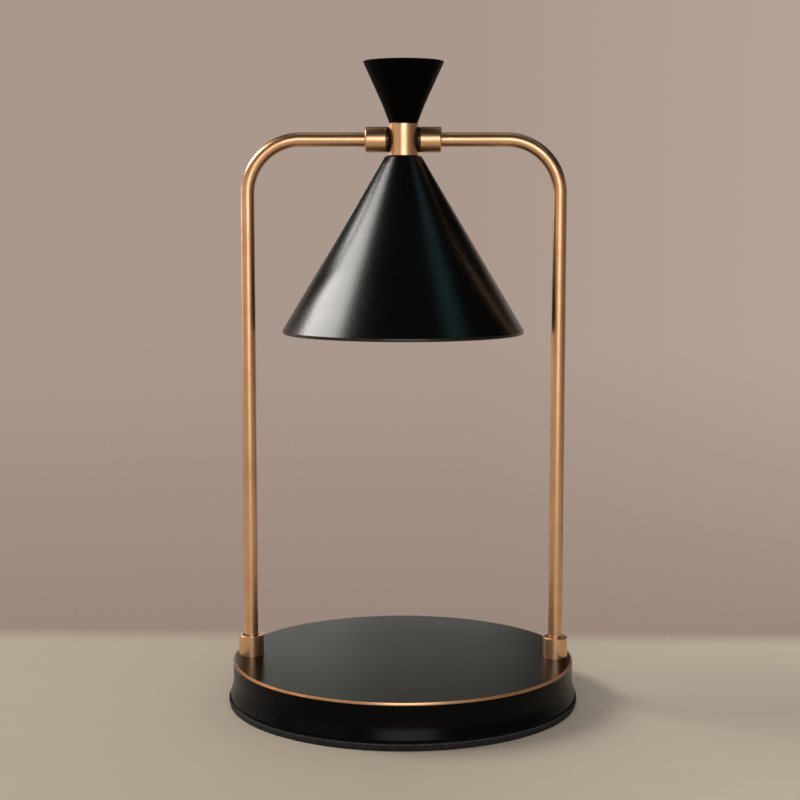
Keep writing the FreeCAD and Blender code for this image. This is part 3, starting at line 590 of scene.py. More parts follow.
BLACK_BASE = SatinBlackCoat(
    name="base_black", colour=(0.0006, 0.0006, 0.0006), faded=(0.0020, 0.0019, 0.0018), roughness=0.25,
    ior=1.18, unevenness=0.09, streaks=(0.4, 1.5, 1.0))
BLACK_SHADE = SatinBlackCoat(
    name="shade_black", colour=(0.0002, 0.0002, 0.0002), faded=(0.0008, 0.0008, 0.0007), roughness=0.27,
    ior=1.55, ring_marks=0.25)
BLACK_FINIAL = SatinBlackCoat(
    name="finial_black", colour=(0.0002, 0.0002, 0.0002), faded=(0.0006, 0.0006, 0.0006), roughness=0.42,
    ior=1.11)
EDGE_BRASS = AntiqueBrass(name="edge_brass", lay=Lay.ALONG)
TUBE_BRASS = AntiqueBrass(name="tube_brass", lay=Lay.ALONG)
COLLAR_BRASS = AntiqueBrass(name="collar_brass", lay=Lay.ROUND_CROSSWISE, middle=HUB_MIDDLE)
BARREL_BRASS = AntiqueBrass(name="barrel_brass", roughness=0.31)
ZINC = PlatedSteel()
SCREW_BRASS = PlatedSteel(
    name="machined_brass", bright=(0.78, 0.58, 0.30), dull=(0.50, 0.36, 0.18), roughness=0.28)
BLACKENED = PlatedSteel(
    name="blackened_screw", bright=(0.05, 0.05, 0.052), dull=(0.02, 0.02, 0.02), roughness=0.42)
TUNGSTEN = PlatedSteel(name="tungsten", bright=(0.45, 0.43, 0.40), dull=(0.28, 0.26, 0.24), roughness=0.4)
RUBBER = Moulded(name="black_rubber", roughness=0.62, skin_depth=0.03)
# painted reflection: the washers' brown tint stands in for the brass mirrored in them
NYLON_PAINTED_REFLECTION = Moulded(
    name="nylon_painted_reflection", colour=(0.010, 0.0045, 0.002), worn=(0.028, 0.012, 0.005), roughness=0.28, ior=1.5)
TERMINAL = Moulded(
    name="terminal_nylon", colour=(0.74, 0.73, 0.68), worn=(0.60, 0.58, 0.51), roughness=0.44)
SHEATH = Moulded(
    name="lead_sheath", colour=(0.018, 0.018, 0.019), worn=(0.032, 0.032, 0.033), roughness=0.38)
GLAZED = Ceramic(name="glazed_ceramic", glaze=0.85, roughness=0.38)
BARE = Ceramic(name="bare_ceramic", colour=(0.78, 0.755, 0.69), stain=(0.55, 0.48, 0.38))
GLASS = ClearGlass()
QUARTZ = ClearGlass(name="quartz", ripple=0.004)
MIRROR = MirrorCoat()
PEARL = ReflectorBack()
FOAM = OpenFoam()
IRON = CastIron()


# ---------------------------------------------------------------- mesh making
def full_turn(steps: int) -> list[float]:
    """Evenly spaced angles round a full turn."""
    return [math.tau * step / steps for step in range(steps)]


def spoke(radius: float, angle: float, height: float = 0.0) -> Vector:
    """Point at an angle round the upright axis, a radius away from it."""
    return Vector((radius * math.cos(angle), radius * math.sin(angle), height))


def rounded(corners: list[Corner], steps: int = 6) -> list[tuple[float, float]]:
    """Closed outline through corners of (radius, height), with an arc where a third number rounds a corner.

    Args:
        corners: Corner points in order.
        steps: Pieces in each arc.

    Returns:
        The points of the outline.
    """
    points = []
    for i, corner in enumerate(corners):
        here = Vector(corner[:2])
        radius = corner[2] if len(corner) > 2 else 0.0
        if radius == 0:
            points.append((here.x, here.y))
            continue
        back = (Vector(corners[i - 1][:2]) - here).normalized()
        ahead = (Vector(corners[(i + 1) % len(corners)][:2]) - here).normalized()
        half = back.angle(ahead) / 2
        bisector = (back + ahead).normalized()
        hub = here + bisector * (radius / math.sin(half))
        first = here + back * (radius / math.tan(half)) - hub
        turn = math.pi - 2 * half
        sign = 1 if first.x * ahead.y - first.y * ahead.x > 0 else -1
        for step in range(steps + 1):
            angle = sign * turn * step / steps
            turned = Vector((first.x * math.cos(angle) - first.y * math.sin(angle),
                             first.x * math.sin(angle) + first.y * math.cos(angle)))
            points.append((hub.x + turned.x, hub.y + turned.y))
    return points


class Maker:
    """Collects the points and faces of one piece, in millimetres, and makes its object."""

    def __init__(self) -> None:
        """Starts with nothing."""
        self.points: list[Vector] = []
        self.grain: list[Vector] = []
        self.faces: list[tuple[int, ...]] = []
        self.paint: list[int] = []
        self.flat: list[bool] = []

    def point(self, at: Vector, grain: Vector) -> int:
        """Adds a point and says its number.

        Args:
            at: Its place, in millimetres.
            grain: Its grain vector, which changes slowly along the polishing marks.

        Returns:
            The number of the point.
        """
        self.points.append(at)
        self.grain.append(grain)
        return len(self.points) - 1

    def face(self, corners: tuple[int, ...], paint: int = 0, flat: bool = False) -> None:
        """Adds a face, with the number of its finish.

        Args:
            corners: The numbers of its points, in order.
            paint: The number of its finish.
            flat: Whether it is faceted, not smooth.
        """
        self.faces.append(corners)
        self.paint.append(paint)
        self.flat.append(flat)

    def rings(self, rows: list[list[int]], closed: bool, paints: list[int] | None = None,
              flats: list[bool] | None = None) -> None:
        """Joins rows of points, each a ring or a single point, by faces.

        Args:
            rows: The numbers of the points of each row.
            closed: Whether the last row joins the first.
            paints: The finish of each strip between two rows.
            flats: Whether each strip is faceted.
        """
        count = len(rows) if closed else len(rows) - 1
        for i in range(count):
            low, high = rows[i], rows[(i + 1) % len(rows)]
            if len(low) == len(high) == 1:
                continue
            paint = paints[i] if paints else 0
            flat = flats[i] if flats else False
            around = max(len(low), len(high))
            for j in range(around):
                k = (j + 1) % around
                if len(low) == 1:
                    corners = (low[0], high[k], high[j])
                elif len(high) == 1:
                    corners = (low[j], low[k], high[0])
                else:
                    corners = (low[j], low[k], high[k], high[j])
                self.face(corners, paint, flat)

    def turned(self, outline: list[tuple[float, float]], steps: int, paints: list[int] | None = None,
               flats: list[bool] | None = None) -> "Maker":
        """Turns a closed outline of (radius, height) about the upright axis.

        Args:
            outline: The points of the outline, in order.
            steps: Points in each ring.
            paints: The finish of each strip of the outline.
            flats: Whether each strip is faceted.

        Returns:
            The maker itself.
        """
        rows = []
        run = 0.0
        for i, (radius, height) in enumerate(outline):
            before = outline[i - 1] if i else outline[0]
            run += math.hypot(radius - before[0], height - before[1])
            if radius < ON_AXIS:
                rows.append([self.point(Vector((0, 0, height)), Vector((0, 0, run)))])
                continue
            row = []
            for angle in full_turn(steps):
                at = spoke(radius, angle, height)
                row.append(self.point(at, Vector((at.x / GRAIN_STRETCH, at.y / GRAIN_STRETCH, run))))
            rows.append(row)
        self.rings(rows, True, paints, flats)
        return self

    def swept(self, line: list[Vector], side: Vector, radius: float, steps: int,
              bore: float = 0.0) -> "Maker":
        """Carries a disc, or a ring with a bore, along a line that lies in the plane square to side.

        Args:
            line: The points of the line.
            side: The direction square to the plane of the line.
            radius: Outer radius.
            steps: Points round the section.
            bore: Radius of the bore, or 0 for a solid rod.

        Returns:
            The maker itself.
        """
        outer, inner = [], []
        run = 0.0
        for i, here in enumerate(line):
            before, after = line[max(i - 1, 0)], line[min(i + 1, len(line) - 1)]
            run += (here - before).length
            normal = side.cross((after - before).normalized())
            for rows, size in ((outer, radius), (inner, bore)):
                if size == 0:
                    continue
                row = []
                for angle in full_turn(steps):
                    away = (side * math.cos(angle) + normal * math.sin(angle)) * size
                    row.append(self.point(here + away, spoke(size, angle, run / GRAIN_STRETCH)))
                rows.append(row)
        if bore:
            self.rings(outer + inner[::-1], True)
        else:
            self.capped(outer, line[0], line[-1])
        return self

    def capped(self, rows: list[list[int]], first: Vector, last: Vector) -> None:
        """Joins rows of points and closes both ends to a point.

        Args:
            rows: The numbers of the points of each row.
            first: The point that closes the first row.
            last: The point that closes the last row.
        """
        ends = [[self.point(end, Vector((0, 0, 0)))] for end in (first, last)]
        self.rings([ends[0]] + rows + [ends[1]], False)

    def made(self, name: str, finishes: list[Finish], sharp_degrees: float = 32.0) -> bpy.types.Object:
        """Makes the object, with outward faces, smooth shading and its finishes.

        Args:
            name: The piece's name.
            finishes: Its finishes, in the order of the paint numbers.
            sharp_degrees: Edges that turn by more than this stay crisp.

        Returns:
            The new object.
        """
        mesh = bpy.data.meshes.new(name)
        mesh.from_pydata([point * MM for point in self.points], [], self.faces)
        for polygon, paint, flat in zip(mesh.polygons, self.paint, self.flat):
            polygon.material_index = paint
            polygon.use_smooth = not flat
        attribute = mesh.attributes.new(GRAIN, "FLOAT_VECTOR", "POINT")
        attribute.data.foreach_set("vector", [part * MM for vector in self.grain for part in vector])
        soft = bmesh.new()
        soft.from_mesh(mesh)
        bmesh.ops.recalc_face_normals(soft, faces=soft.faces)
        soft.to_mesh(mesh)
        soft.free()
        mesh.set_sharp_from_angle(angle=math.radians(sharp_degrees))
        for finish in finishes:
            mesh.materials.append(finish.material())
        made = bpy.data.objects.new(name, mesh)
        bpy.context.scene.collection.objects.link(made)
        return made


def arc(middle: Vector, start: Vector, end: Vector, steps: int) -> list[Vector]:
    """Points of a quarter turn about a middle, from start to end.

    Args:
        middle: Centre of the turn.
        start: First point.
        end: Last point.
        steps: Pieces in the turn.

    Returns:
        The points, with both ends.
    """
    from_start, from_end = start - middle, end - middle
    points = []
    for step in range(steps + 1):
        angle = math.pi / 2 * step / steps
        points.append(middle + from_start * math.cos(angle) + from_end * math.sin(angle))
    return points


def straight(start: Vector, end: Vector, steps: int) -> list[Vector]:
    """Evenly spaced points from start up to, but without, end."""
    return [start.lerp(end, step / steps) for step in range(steps)]


# ---------------------------------------------------------------- sub-assemblies
def node_box(node: str) -> tuple[Vector, Vector]:
    """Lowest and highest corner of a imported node, in millimetres."""
    low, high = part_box(node)
    return low / MM, high / MM


@dataclass
class SubAssembly:
    """Pieces that ride on one body of the frame."""

    body: str = "stand"

    def dress(self, **finishes: Finish) -> None:
        """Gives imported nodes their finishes.

        Args:
            finishes: The finish of each node, by the node's name.
        """
        for node, finish in finishes.items():
            mesh = frame["nodes"][node].data
            mesh.materials.clear()
            mesh.materials.append(finish.material())
            LOG.info("%s keeps its packed shape, in %s", node, finish.name)

    def fit(self, piece: bpy.types.Object, slot: str, *nodes: str) -> bpy.types.Object:
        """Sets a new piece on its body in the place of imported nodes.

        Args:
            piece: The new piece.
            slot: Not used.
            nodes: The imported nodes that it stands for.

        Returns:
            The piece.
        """
        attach(piece, self.body)
        if nodes:
            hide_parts(*nodes)
        LOG.info("%s made with %d faces for %s", piece.name, len(piece.data.polygons),
                 ", ".join(nodes) or "detail")
        return piece

    def build(self) -> None:
        """Builds the pieces and dresses the nodes."""
        raise NotImplementedError


@dataclass
class WeightedBase(SubAssembly):
    """Pressed shell with its brass edge, foam foot, cover, ballast and cord inlet.

    The tear sizes roughen the foam's cut edge: tear_reach is how far the roughness goes, tear_scale how close
    it lies, and tear_lift its share upwards.
    """

    trim_round: float = 0.6
    trim_width: float = 1.35
    trim_lap: float = 0.5
    pad_top_round: float = 0.8
    pad_foot_round: float = 0.35
    pad_width: float = 16.0
    pad_fill: float = 1.0
    pad_rows: tuple[float, ...] = (0.36, 0.46, 0.56, 0.66, 0.76)
    tear_reach: float = 0.2
    tear_scale: float = 0.75
    tear_falloff: float = 0.7
    tear_step: float = 2.1
    tear_octaves: int = 4
    tear_lift: float = 0.5
    steps: int = 720

    def edge_trim(self) -> bpy.types.Object:
        """Brass edge with a full round on its outer corner, whose borders the base's paint laps over.

        Returns:
            The ring.
        """
        low, high = node_box("edge_trim_ring")
        outer = high.x
        inner = outer - self.trim_width
        lap_top, lap_side = inner + self.trim_lap, low.z + self.trim_lap
        outline = rounded([(inner, low.z), (outer, low.z), (outer, lap_side),
                           (outer, high.z, self.trim_round), (lap_top, high.z), (inner, high.z)],
                          steps=FINE_STEPS)
        lapped = (1, len(outline) - 2)
        painted = [int(strip in lapped) for strip in range(len(outline))]
        ring = Maker().turned(outline, self.steps, painted)
        return self.fit(ring.made("edge_trim", [EDGE_BRASS, BLACK_BASE]), "antique_brass", "edge_trim_ring")

    def foot(self) -> bpy.types.Object:
        """Foam ring whose cut edge is torn and slightly uneven.

        Returns:
            The ring.
        """
        low, high = node_box("foot_pad")
        outer = high.x - self.tear_reach
        inner = outer - self.pad_width
        sides = [(outer, high.z * share) for share in self.pad_rows]
        outline = rounded([(inner, low.z), (outer, low.z, self.pad_foot_round), *sides,
                           (outer, high.z, self.pad_top_round), (inner, high.z)], steps=5)
        pad = Maker().turned(outline, 2 * self.steps)
        smooth_until = outer - 3 * self.pad_foot_round
        for number, point in enumerate(pad.points):
            away = Vector((point.x, point.y, 0))
            if away.length < smooth_until:
                continue
            share = min(1.0, (away.length - smooth_until) / self.pad_foot_round)
            tear = noise.fractal(point * self.tear_scale, self.tear_falloff, self.tear_step,
                                 self.tear_octaves)
            push = tear * self.tear_reach * share
            on_side = self.pad_foot_round < point.z < high.z - self.pad_foot_round
            lift = push * self.tear_lift if on_side else 0.0
            pad.points[number] = point + away.normalized() * min(push, self.tear_reach) + Vector((0, 0, lift))
        ring = self.fit(pad.made("foam_foot", [FOAM], sharp_degrees=60.0), "foam_rubber", "foot_pad")
        return ring

    def build(self) -> None:
        """Builds the edge and foot, and dresses the rest."""
        self.edge_trim()
        self.foot()
        self.dress(base_shell=BLACK_BASE, base_cover=BLACK_BASE, cover_screws=ZINC, cover_standoffs=ZINC,
                   ballast_plate=IRON, cord_grommet=RUBBER, terminal_block=TERMINAL,
                   clamp_sleeves=SCREW_BRASS, clamp_screws=ZINC, terminal_screw=ZINC)


@dataclass
class BrassFrame(SubAssembly):
    """The two bent tubes with their ferrules, nuts and collars."""

    bend_radius: float = 24.0
    tube_wall: float = 0.8
    around: int = 64
    bend_steps: int = 48
    run_steps: int = 60

    def tube(self, side: str) -> bpy.types.Object:
        """One leg, its bend and its top arm, swept as one tube.

        Args:
            side: left or right.

        Returns:
            The tube.
        """
        node = f"frame_tube_{side}"
        low, high = node_box(node)
        radius = (high.y - low.y) / 2
        sign = 1 if side == "right" else -1
        leg = high.x - radius if sign > 0 else low.x + radius
        end = low.x if sign > 0 else high.x
        top = high.z - radius
        bend = self.bend_radius
        foot = Vector((leg, 0, low.z))
        bend_start = Vector((leg, 0, top - bend))
        bend_end = Vector((leg - sign * bend, 0, top))
        middle = Vector((leg - sign * bend, 0, top - bend))
        line = straight(foot, bend_start, self.run_steps) + arc(middle, bend_start, bend_end, self.bend_steps)
        line += straight(bend_end, Vector((end, 0, top)), self.run_steps)[1:] + [Vector((end, 0, top))]
        tube = Maker().swept(line, Vector((0, 1, 0)), radius, self.around, radius - self.tube_wall)
        return self.fit(tube.made(f"brass_tube_{side}", [TUBE_BRASS]), "antique_brass", node)

    def build(self) -> None:
        """Builds the tubes, and dresses the turned parts in brass of their own grain."""
        for side in ("left", "right"):
            self.tube(side)
            low, high = node_box(f"leg_ferrule_{side}")
            middle = (low + high) / 2 * MM
            ferrule_brass = AntiqueBrass(name=f"ferrule_brass_{side}", middle=(middle.x, 0, 0))
            self.dress(**{f"leg_ferrule_{side}": ferrule_brass, f"hub_collar_{side}": COLLAR_BRASS})
        self.dress(leg_washers=ZINC, leg_nuts=ZINC, frame_lead=SHEATH)


@dataclass
class TiltHub(SubAssembly):
    """Barrel between the collars, with its washers and stop screw."""

    body: str = "head"

    def build(self) -> None:
        """Dresses the hub's nodes."""
        self.dress(hub_barrel=BARREL_BRASS, pivot_washer_left=NYLON_PAINTED_REFLECTION, pivot_washer_right=NYLON_PAINTED_REFLECTION,
                   tilt_stop_screw=BLACKENED)


@dataclass
class ConeHead(SubAssembly):
    """Shade and finial."""

    body: str = "head"

    def build(self) -> None:
        """Dresses the cones."""
        self.dress(shade=BLACK_SHADE, finial_cup=BLACK_FINIAL, finial_washer=ZINC, finial_screw=ZINC)


@dataclass
class LampFitting(SubAssembly):
    """Threaded nipple, nuts, strap and ceramic holder."""

    body: str = "head"
    thread_pitch: float = 1.0
    thread_depth: float = 0.5
    thread_steepness: float = 1.15
    bore: float = 2.7
    around: int = 48
    rows_per_turn: int = 8

    def nipple(self) -> bpy.types.Object:
        """Hollow nipple with its thread cut from end to end.

        Returns:
            The nipple.
        """
        low, high = node_box("lamp_nipple")
        radius = (high.x - low.x) / 2
        length = high.z - low.z
        count = round(length / self.thread_pitch * self.rows_per_turn)
        angles = full_turn(self.around)
        thread = Maker()
        outer, inner = [], []
        for i in range(count + 1):
            height = low.z + length * i / count
            row = []
            for step, angle in enumerate(angles):
                turn = (height / self.thread_pitch - step / self.around) % 1.0
                depth = self.thread_depth * min(1.0, abs(2 * turn - 1) * self.thread_steepness)
                row.append(thread.point(spoke(radius - depth, angle, height), Vector((0, 0, height))))
            outer.append(row)
        for height in (high.z, low.z):
            inner.append([thread.point(spoke(self.bore, angle, height), Vector((0, 0, height)))
                          for angle in angles])
        thread.rings(outer + inner, True)
        nipple = thread.made("threaded_nipple", [ZINC], sharp_degrees=50.0)
        return self.fit(nipple, "zinc_steel", "lamp_nipple")

    def build(self) -> None:
        """Builds the nipple and dresses the rest."""
        self.nipple()
        self.dress(lock_washer=ZINC, nipple_nuts=ZINC, holder_strap=ZINC, strap_screws=ZINC,
                   lamp_holder=GLAZED, holder_contacts=SCREW_BRASS, head_lead=SHEATH)


@dataclass
class ReflectorBulb(SubAssembly):
    """Twist-lock reflector bulb with a faceted mirror and a filament burner.

    The capsule's heights count up from its tip, and those of the pinch and the hollow's top from its seal.
    A pair is a height and the round of the corner there. support_wire is a multiple of the filament's wire.
    """

    body: str = "bulb"
    glass: float = 1.4
    rim_height: float = 4.2
    rim_round: float = 0.4
    ledge: float = 2.6
    ledge_width: float = 1.4
    neck_radius: float = 11.4
    swell_out: float = 0.62
    swell_down: float = 0.36
    swell_round: float = 14.0
    facet_columns: int = 36
    facet_rows: int = 9
    bowl_power: float = 1.35
    burner_exposed: float = 18.0
    burner_wall: float = 0.7
    burner_steps: int = 64
    tip: tuple[Corner, ...] = ((1.1, 0.0, 0.5), (2.2, 1.3, 0.9))
    shoulder_height: float = 3.4
    shoulder_round: float = 2.4
    seal_length: float = 5.0
    seal_round: float = 1.6
    pinch_share: float = 0.62
    pinch_length: float = 4.0
    pinch_round: float = 1.2
    hollow_floor: float = 2.6
    hollow_heel: tuple[float, float] = (3.0, 1.0)
    hollow_shoulder: tuple[float, float] = (5.2, 1.6)
    hollow_top: tuple[float, float] = (-0.6, 1.4)
    hollow_peak: float = 0.4
    filament_foot: float = 14.6
    filament_tip: float = 6.2
    support_out: float = 1.3
    support_wire: float = 1.6
    support_sides: int = 10
    hook: tuple[float, float] = (1.5, 0.4)
    coil_radius: float = 0.55
    coil_turns: int = 11
    coil_steps: int = 14
    wire: float = 0.12
    wire_sides: int = 8

    def reflector(self) -> bpy.types.Object:
        """Pressed reflector: smooth and pearly outside, faceted and mirrored inside.

        Returns:
            The reflector.
        """
        low, high = node_box("bulb_reflector")
        radius = high.x
        rim, ledge = low.z + self.rim_height, low.z + self.ledge
        inner = radius - self.glass
        swell = self.neck_radius + (radius - self.neck_radius) * self.swell_out
        swell_height = high.z - (high.z - rim) * self.swell_down
        outside = rounded([(self.neck_radius, high.z), (swell, swell_height, self.swell_round),
                           (radius, rim, self.rim_round), (radius, low.z, self.rim_round), (inner, low.z)],
                          steps=FINE_STEPS)
        throat = self.neck_radius - self.glass
        wide = inner - self.ledge_width
        bowl = []
        for row in range(self.facet_rows):
            share = row / self.facet_rows
            reach = math.sqrt(1 - share ** self.bowl_power)
            bowl.append((throat + (wide - throat) * reach, ledge + (high.z - ledge) * share))
        bowl.append((throat, high.z))
        outline = outside + [(inner, ledge)] + bowl
        first_facet = len(outside) + 1
        faceted = [first_facet <= strip < len(outline) - 1 for strip in range(len(outline))]
        paints = [int(mirrored) for mirrored in faceted]
        body = Maker().turned(outline, self.facet_columns * 2, paints, faceted)
        reflector = body.made("reflector", [PEARL, MIRROR], sharp_degrees=40.0)
        return self.fit(reflector, "reflector_glass", "bulb_reflector")

    def burner(self) -> bpy.types.Object:
        """Quartz capsule with a drawn tip, and the pinch that sits in the base.

        Returns:
            The capsule.
        """
        low, high = node_box("bulb_burner")
        foot, top = low.z, high.z
        radius = high.x
        seal = foot + self.burner_exposed - self.seal_length
        pinch = radius * self.pinch_share
        tip = [(reach, foot + height, bend) for reach, height, bend in self.tip]
        outer = rounded([(0, foot), *tip, (radius, foot + self.shoulder_height, self.shoulder_round),
                         (radius, seal, self.seal_round), (pinch, seal + self.pinch_length, self.pinch_round),
                         (pinch, top), (0, top)])
        inside = radius - self.burner_wall
        heel, shoulder, end = self.hollow_heel, self.hollow_shoulder, self.hollow_top
        hollow = rounded([(0, foot + self.hollow_floor), (inside * self.pinch_share, foot + heel[0], heel[1]),
                          (inside, foot + shoulder[0], shoulder[1]), (inside, seal + end[0], end[1]),
                          (0, seal + self.hollow_peak)])
        capsule = Maker().turned(outer, self.burner_steps).turned(hollow[::-1], self.burner_steps)
        return self.fit(capsule.made("burner_capsule", [QUARTZ]), "clear_glass", "bulb_burner")

    def filament(self) -> bpy.types.Object:
        """Coiled filament on two support wires inside the capsule.

        Returns:
            The filament.
        """
        low, _ = node_box("bulb_burner")
        foot, tip = low.z + self.filament_foot, low.z + self.filament_tip
        wire = Maker()
        for x in (-self.support_out, self.support_out):
            support = [Vector((x, 0, height)) for height in (foot, tip + self.hook[0], tip + self.hook[1])]
            wire.swept(support, Vector((0, 1, 0)), self.wire * self.support_wire, self.support_sides)
        total = self.coil_turns * self.coil_steps
        coil = []
        for step in range(total + 1):
            angle = math.tau * step / self.coil_steps
            coil.append(Vector((self.support_out * (2 * step / total - 1), self.coil_radius * math.sin(angle),
                                tip + self.coil_radius * math.cos(angle))))
        self._wind(wire, coil)
        return self.fit(wire.made("filament", [TUNGSTEN]), "zinc_steel")

    def _wind(self, wire: Maker, line: list[Vector]) -> None:
        """Carries the filament's own wire along the coil.

        Args:
            wire: The maker that takes the points.
            line: The points of the coil.
        """
        rows = []
        side = (line[1] - line[0]).normalized().orthogonal().normalized()
        for i, here in enumerate(line):
            ahead = (line[min(i + 1, len(line) - 1)] - line[max(i - 1, 0)]).normalized()
            if i:
                side = (side - ahead * side.dot(ahead)).normalized()
            up = ahead.cross(side)
            grain = Vector((0, 0, i))
            rows.append([wire.point(here + (side * math.cos(angle) + up * math.sin(angle)) * self.wire, grain)
                         for angle in full_turn(self.wire_sides)])
        wire.capped(rows, line[0], line[-1])

    def build(self) -> None:
        """Builds the reflector, burner and filament, and dresses the rest."""
        self.reflector()
        self.burner()
        self.filament()
        self.dress(bulb_base=BARE, bulb_pins=ZINC, bulb_front_glass=GLASS)


# ---------------------------------------------------------------- studio
@dataclass
class Softbox:
    """One soft lamp that faces the middle of the object."""

    name: str
    azimuth: float
    elevation: float
    distance: float
    width: float
    height: float
    radiance: float
    tint: Colour = (1.0, 0.97, 0.93)
    roll: float = 0.0
    target_height: float = 0.2

    def build(self) -> None:
        """Hangs the lamp; azimuth 0 is in front and 90 on the right."""
        light = bpy.data.lights.new(self.name, "AREA")
        light.shape = "RECTANGLE"
        light.size, light.size_y = self.width, self.height
        light.color = self.tint
        light.energy = self.radiance * math.pi * self.width * self.height
        lamp = bpy.data.objects.new(self.name, light)
        a, e = math.radians(self.azimuth), math.radians(self.elevation)
        back = Vector((math.sin(a) * math.cos(e), -math.cos(a) * math.cos(e), math.sin(e)))
        lamp.location = Vector((0, 0, self.target_height)) + back * self.distance
        lamp.rotation_mode = "QUATERNION"
        turn = Quaternion((0, 0, 1), math.radians(self.roll))
        lamp.rotation_quaternion = back.to_track_quat("Z", "Y") @ turn
        lamp.visible_camera = False
        bpy.context.scene.collection.objects.link(lamp)
        LOG.info("%s hung", self.name)


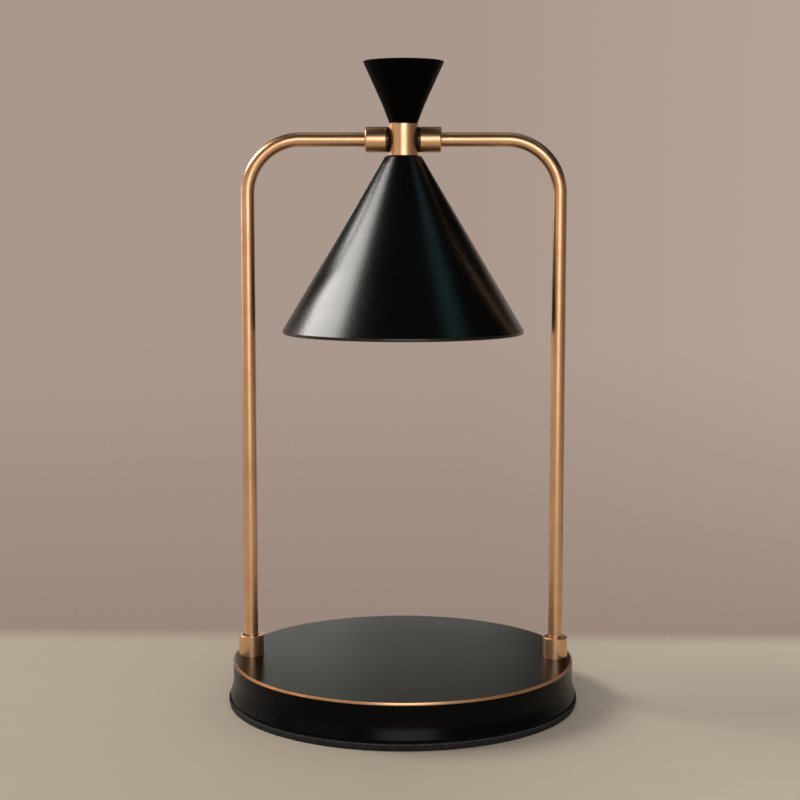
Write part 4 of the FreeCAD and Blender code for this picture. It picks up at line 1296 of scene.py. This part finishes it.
@dataclass
class Studio:
    """Camera, pale floor, surroundings and soft lamps."""

    azimuth: float = 1.48
    pitch: float = 6.38
    roll: float = 0.06
    focal_pixels: float = 1701.6
    distance: float = 0.7679
    camera_height: float = 0.2244
    camera_shift: float = -0.00142
    image_pixels: int = 800
    sensor: float = 36.0
    table: Colour = srgb(183, 170, 153)
    # painted light: the floor's colour on its right, paler than the table, stands in for more light there
    table_right_painted_light: Colour = srgb(217, 204, 185)
    table_streak: Colour = srgb(160, 144, 128)
    wall: Colour = srgb(170, 152, 140)
    # painted light on the wall's right side and painted shade at its foot
    wall_right_painted_light: Colour = srgb(182, 164, 153)
    wall_foot_painted_shade: Colour = srgb(153, 134, 122)
    ceiling: Colour = (0.006, 0.0055, 0.005)
    ambient: float = 0.45
    ambient_tint: Colour = (1.0, 0.985, 0.965)
    floor_radius: float = 1.4
    floor_steps: int = 96
    floor_fade: tuple[float, float] = (0.3, 0.9)
    painted_light_reach: float = 0.3
    table_edge: float = 0.1
    edge_blur: float = 0.025

    def camera(self) -> None:
        """Camera almost straight in front, looking a little down."""
        lens = bpy.data.cameras.new("camera")
        lens.sensor_width = self.sensor
        lens.lens = self.focal_pixels * self.sensor / self.image_pixels
        lens.clip_start, lens.clip_end = 0.01, 20
        camera = bpy.data.objects.new("camera", lens)
        turn = math.radians(self.azimuth)
        right = Vector((math.cos(turn), math.sin(turn), 0))
        ahead = Vector((-math.sin(turn), math.cos(turn), 0))
        place = right * self.camera_shift - ahead * self.distance + Vector((0, 0, self.camera_height))
        tilt, roll = math.radians(90 - self.pitch), math.radians(self.roll)
        camera.matrix_world = (Matrix.Translation(place) @ Matrix.Rotation(turn, 4, "Z")
                               @ Matrix.Rotation(tilt, 4, "X") @ Matrix.Rotation(roll, 4, "Z"))
        bpy.context.scene.collection.objects.link(camera)
        bpy.context.scene.camera = camera

    def floor(self) -> None:
        """Round pale floor that fades into the surroundings, with a straight edge behind the lamp."""
        mesh = bpy.data.meshes.new("floor")
        shape = bmesh.new()
        bmesh.ops.create_circle(shape, cap_ends=True, segments=self.floor_steps,
                                radius=self.floor_radius)
        shape.to_mesh(mesh)
        shape.free()
        floor = bpy.data.objects.new("floor", mesh)
        bpy.context.scene.collection.objects.link(floor)
        material = bpy.data.materials.new("floor_paint")
        material.use_nodes = True
        mesh.materials.append(material)
        graph = Graph(material.node_tree)
        place = graph.place()
        across = graph.add("ShaderNodeSeparateXYZ", None, {"Vector": place}, "X")
        depth = across.beside("Y")
        reach = (across * across + depth * depth) ** 0.5
        start, end = self.floor_fade
        edge = self.table_edge / self.floor_radius
        past_edge = (self.table_edge + self.edge_blur) / self.floor_radius
        far = graph.maths("MAXIMUM", graph.ramp(reach / self.floor_radius, (start, 0.0), (end, 1.0)),
                          graph.ramp(depth / self.floor_radius, (edge, 0.0), (past_edge, 1.0)))
        brushed = graph.grainy(graph.stretched(place, (0.5, 9.0, 1.0)), scale=14, detail=4.0, rough=0.55)
        # painted light: the floor gets paler towards the right
        paler = graph.ramp(across / self.painted_light_reach, (0.0, 0.0), (1.0, 1.0))
        plain = graph.mixed(paler, self.table, self.table_right_painted_light)
        paint = graph.add("ShaderNodeBsdfPrincipled", None, {
            "Base Color": graph.mixed(brushed * 0.16, plain, self.table_streak),
            "Roughness": 0.62 + brushed * 0.1,
            "Specular IOR Level": 0.25})
        clear = graph.add("ShaderNodeBsdfTransparent")
        blend = graph.add("ShaderNodeMixShader", None, {"Fac": far, 1: paint, 2: clear})
        graph.add("ShaderNodeOutputMaterial", None, {"Surface": blend})

    def surroundings(self) -> None:
        """World that shows a pale wall to the camera and in gloss, and lights matt surfaces evenly.

        In gloss alone, the wall goes dim high up and on the right, as a room does away from its lamps.
        """
        world = bpy.data.worlds.new("surroundings")
        world.use_nodes = True
        bpy.context.scene.world = world
        graph = Graph(world.node_tree)
        ray = graph.add("ShaderNodeLightPath", output="Is Camera Ray")
        mirrored = ray.beside("Is Glossy Ray") + ray.beside("Is Transmission Ray")
        seen = graph.maths("MINIMUM", ray + mirrored, 1.0)
        direction = graph.add("ShaderNodeTexCoord", output="Generated")
        height = graph.add("ShaderNodeSeparateXYZ", None, {"Vector": direction}, "Z")
        across = height.beside("X")
        high = graph.ramp(height, (0.14, 0.0), (0.27, 1.0))
        right = graph.ramp(across, (0.55, 0.0), (0.92, 0.66))
        dim = graph.maths("MAXIMUM", high, right) * (1.0 - ray)
        # painted shade: the wall darkens towards its foot; painted light: it gets lighter to the right
        foot = graph.ramp(height + 0.5, (0.25, 1.0), (0.42, 0.0))
        plain = graph.mixed(graph.ramp(across, (0.02, 0.0), (0.22, 1.0)), self.wall, self.wall_right_painted_light)
        wall = graph.mixed(dim, graph.mixed(foot, plain, self.wall_foot_painted_shade), self.ceiling)
        shown = graph.add("ShaderNodeBackground", None, {"Color": wall, "Strength": 1.0})
        even = graph.add("ShaderNodeBackground", None, {"Color": self.ambient_tint, "Strength": self.ambient})
        blend = graph.add("ShaderNodeMixShader", None, {"Fac": seen, 1: even, 2: shown})
        graph.add("ShaderNodeOutputWorld", None, {"Surface": blend})

    def lamps(self) -> list[Softbox]:
        """The soft lamps: the key, the panels round the sides, and the faint ones above.

        Returns:
            The lamps.
        """
        return [
            # name, azimuth, elevation, distance, width, height, radiance, tint
            Softbox("key_left", -101, 36, 1.5, 1.12, 0.36, 12.0, roll=30),
            Softbox("panel_left", -113, 2, 1.5, 1.1, 0.3, 1.2),
            Softbox("panel_front_left", -52, 6, 1.5, 1.1, 0.5, 0.4),
            Softbox("panel_front", 5, 14, 1.6, 0.95, 0.45, 3.2, (0.95, 0.97, 1.06)),
            Softbox("panel_low", 3, 2, 0.95, 0.64, 0.4, 1.2),
            Softbox("panel_back", -175, 5.5, 1.6, 0.55, 0.13, 1.15, (0.98, 1.0, 0.91)),
            Softbox("panel_back_left", -170, 5.5, 1.6, 0.34, 0.13, 0.85, (0.98, 1.0, 0.93)),
            Softbox("overhead", 180, 87, 1.5, 0.5, 0.5, 0.25),
            Softbox("overhead_back", 160, 70, 1.5, 1.2, 1.2, 0.25),
            Softbox("teal_right", 68, 50, 1.2, 0.3, 0.3, 0.5, (0.45, 0.95, 1.0)),
        ]

    def build(self) -> None:
        """Sets up the studio."""
        self.camera()
        self.floor()
        self.surroundings()
        for lamp in self.lamps():
            lamp.build()
        bpy.context.scene.view_settings.view_transform = "Standard"


def main() -> None:
    """Builds the studio and the lamp, sub-assembly by sub-assembly."""
    logging.basicConfig(level=logging.INFO, format="%(message)s")
    Studio().build()
    for part in (WeightedBase(), BrassFrame(), TiltHub(), ConeHead(), LampFitting(), ReflectorBulb()):
        LOG.info("%s:", type(part).__name__)
        part.build()


if __name__ == "__main__":
    main()
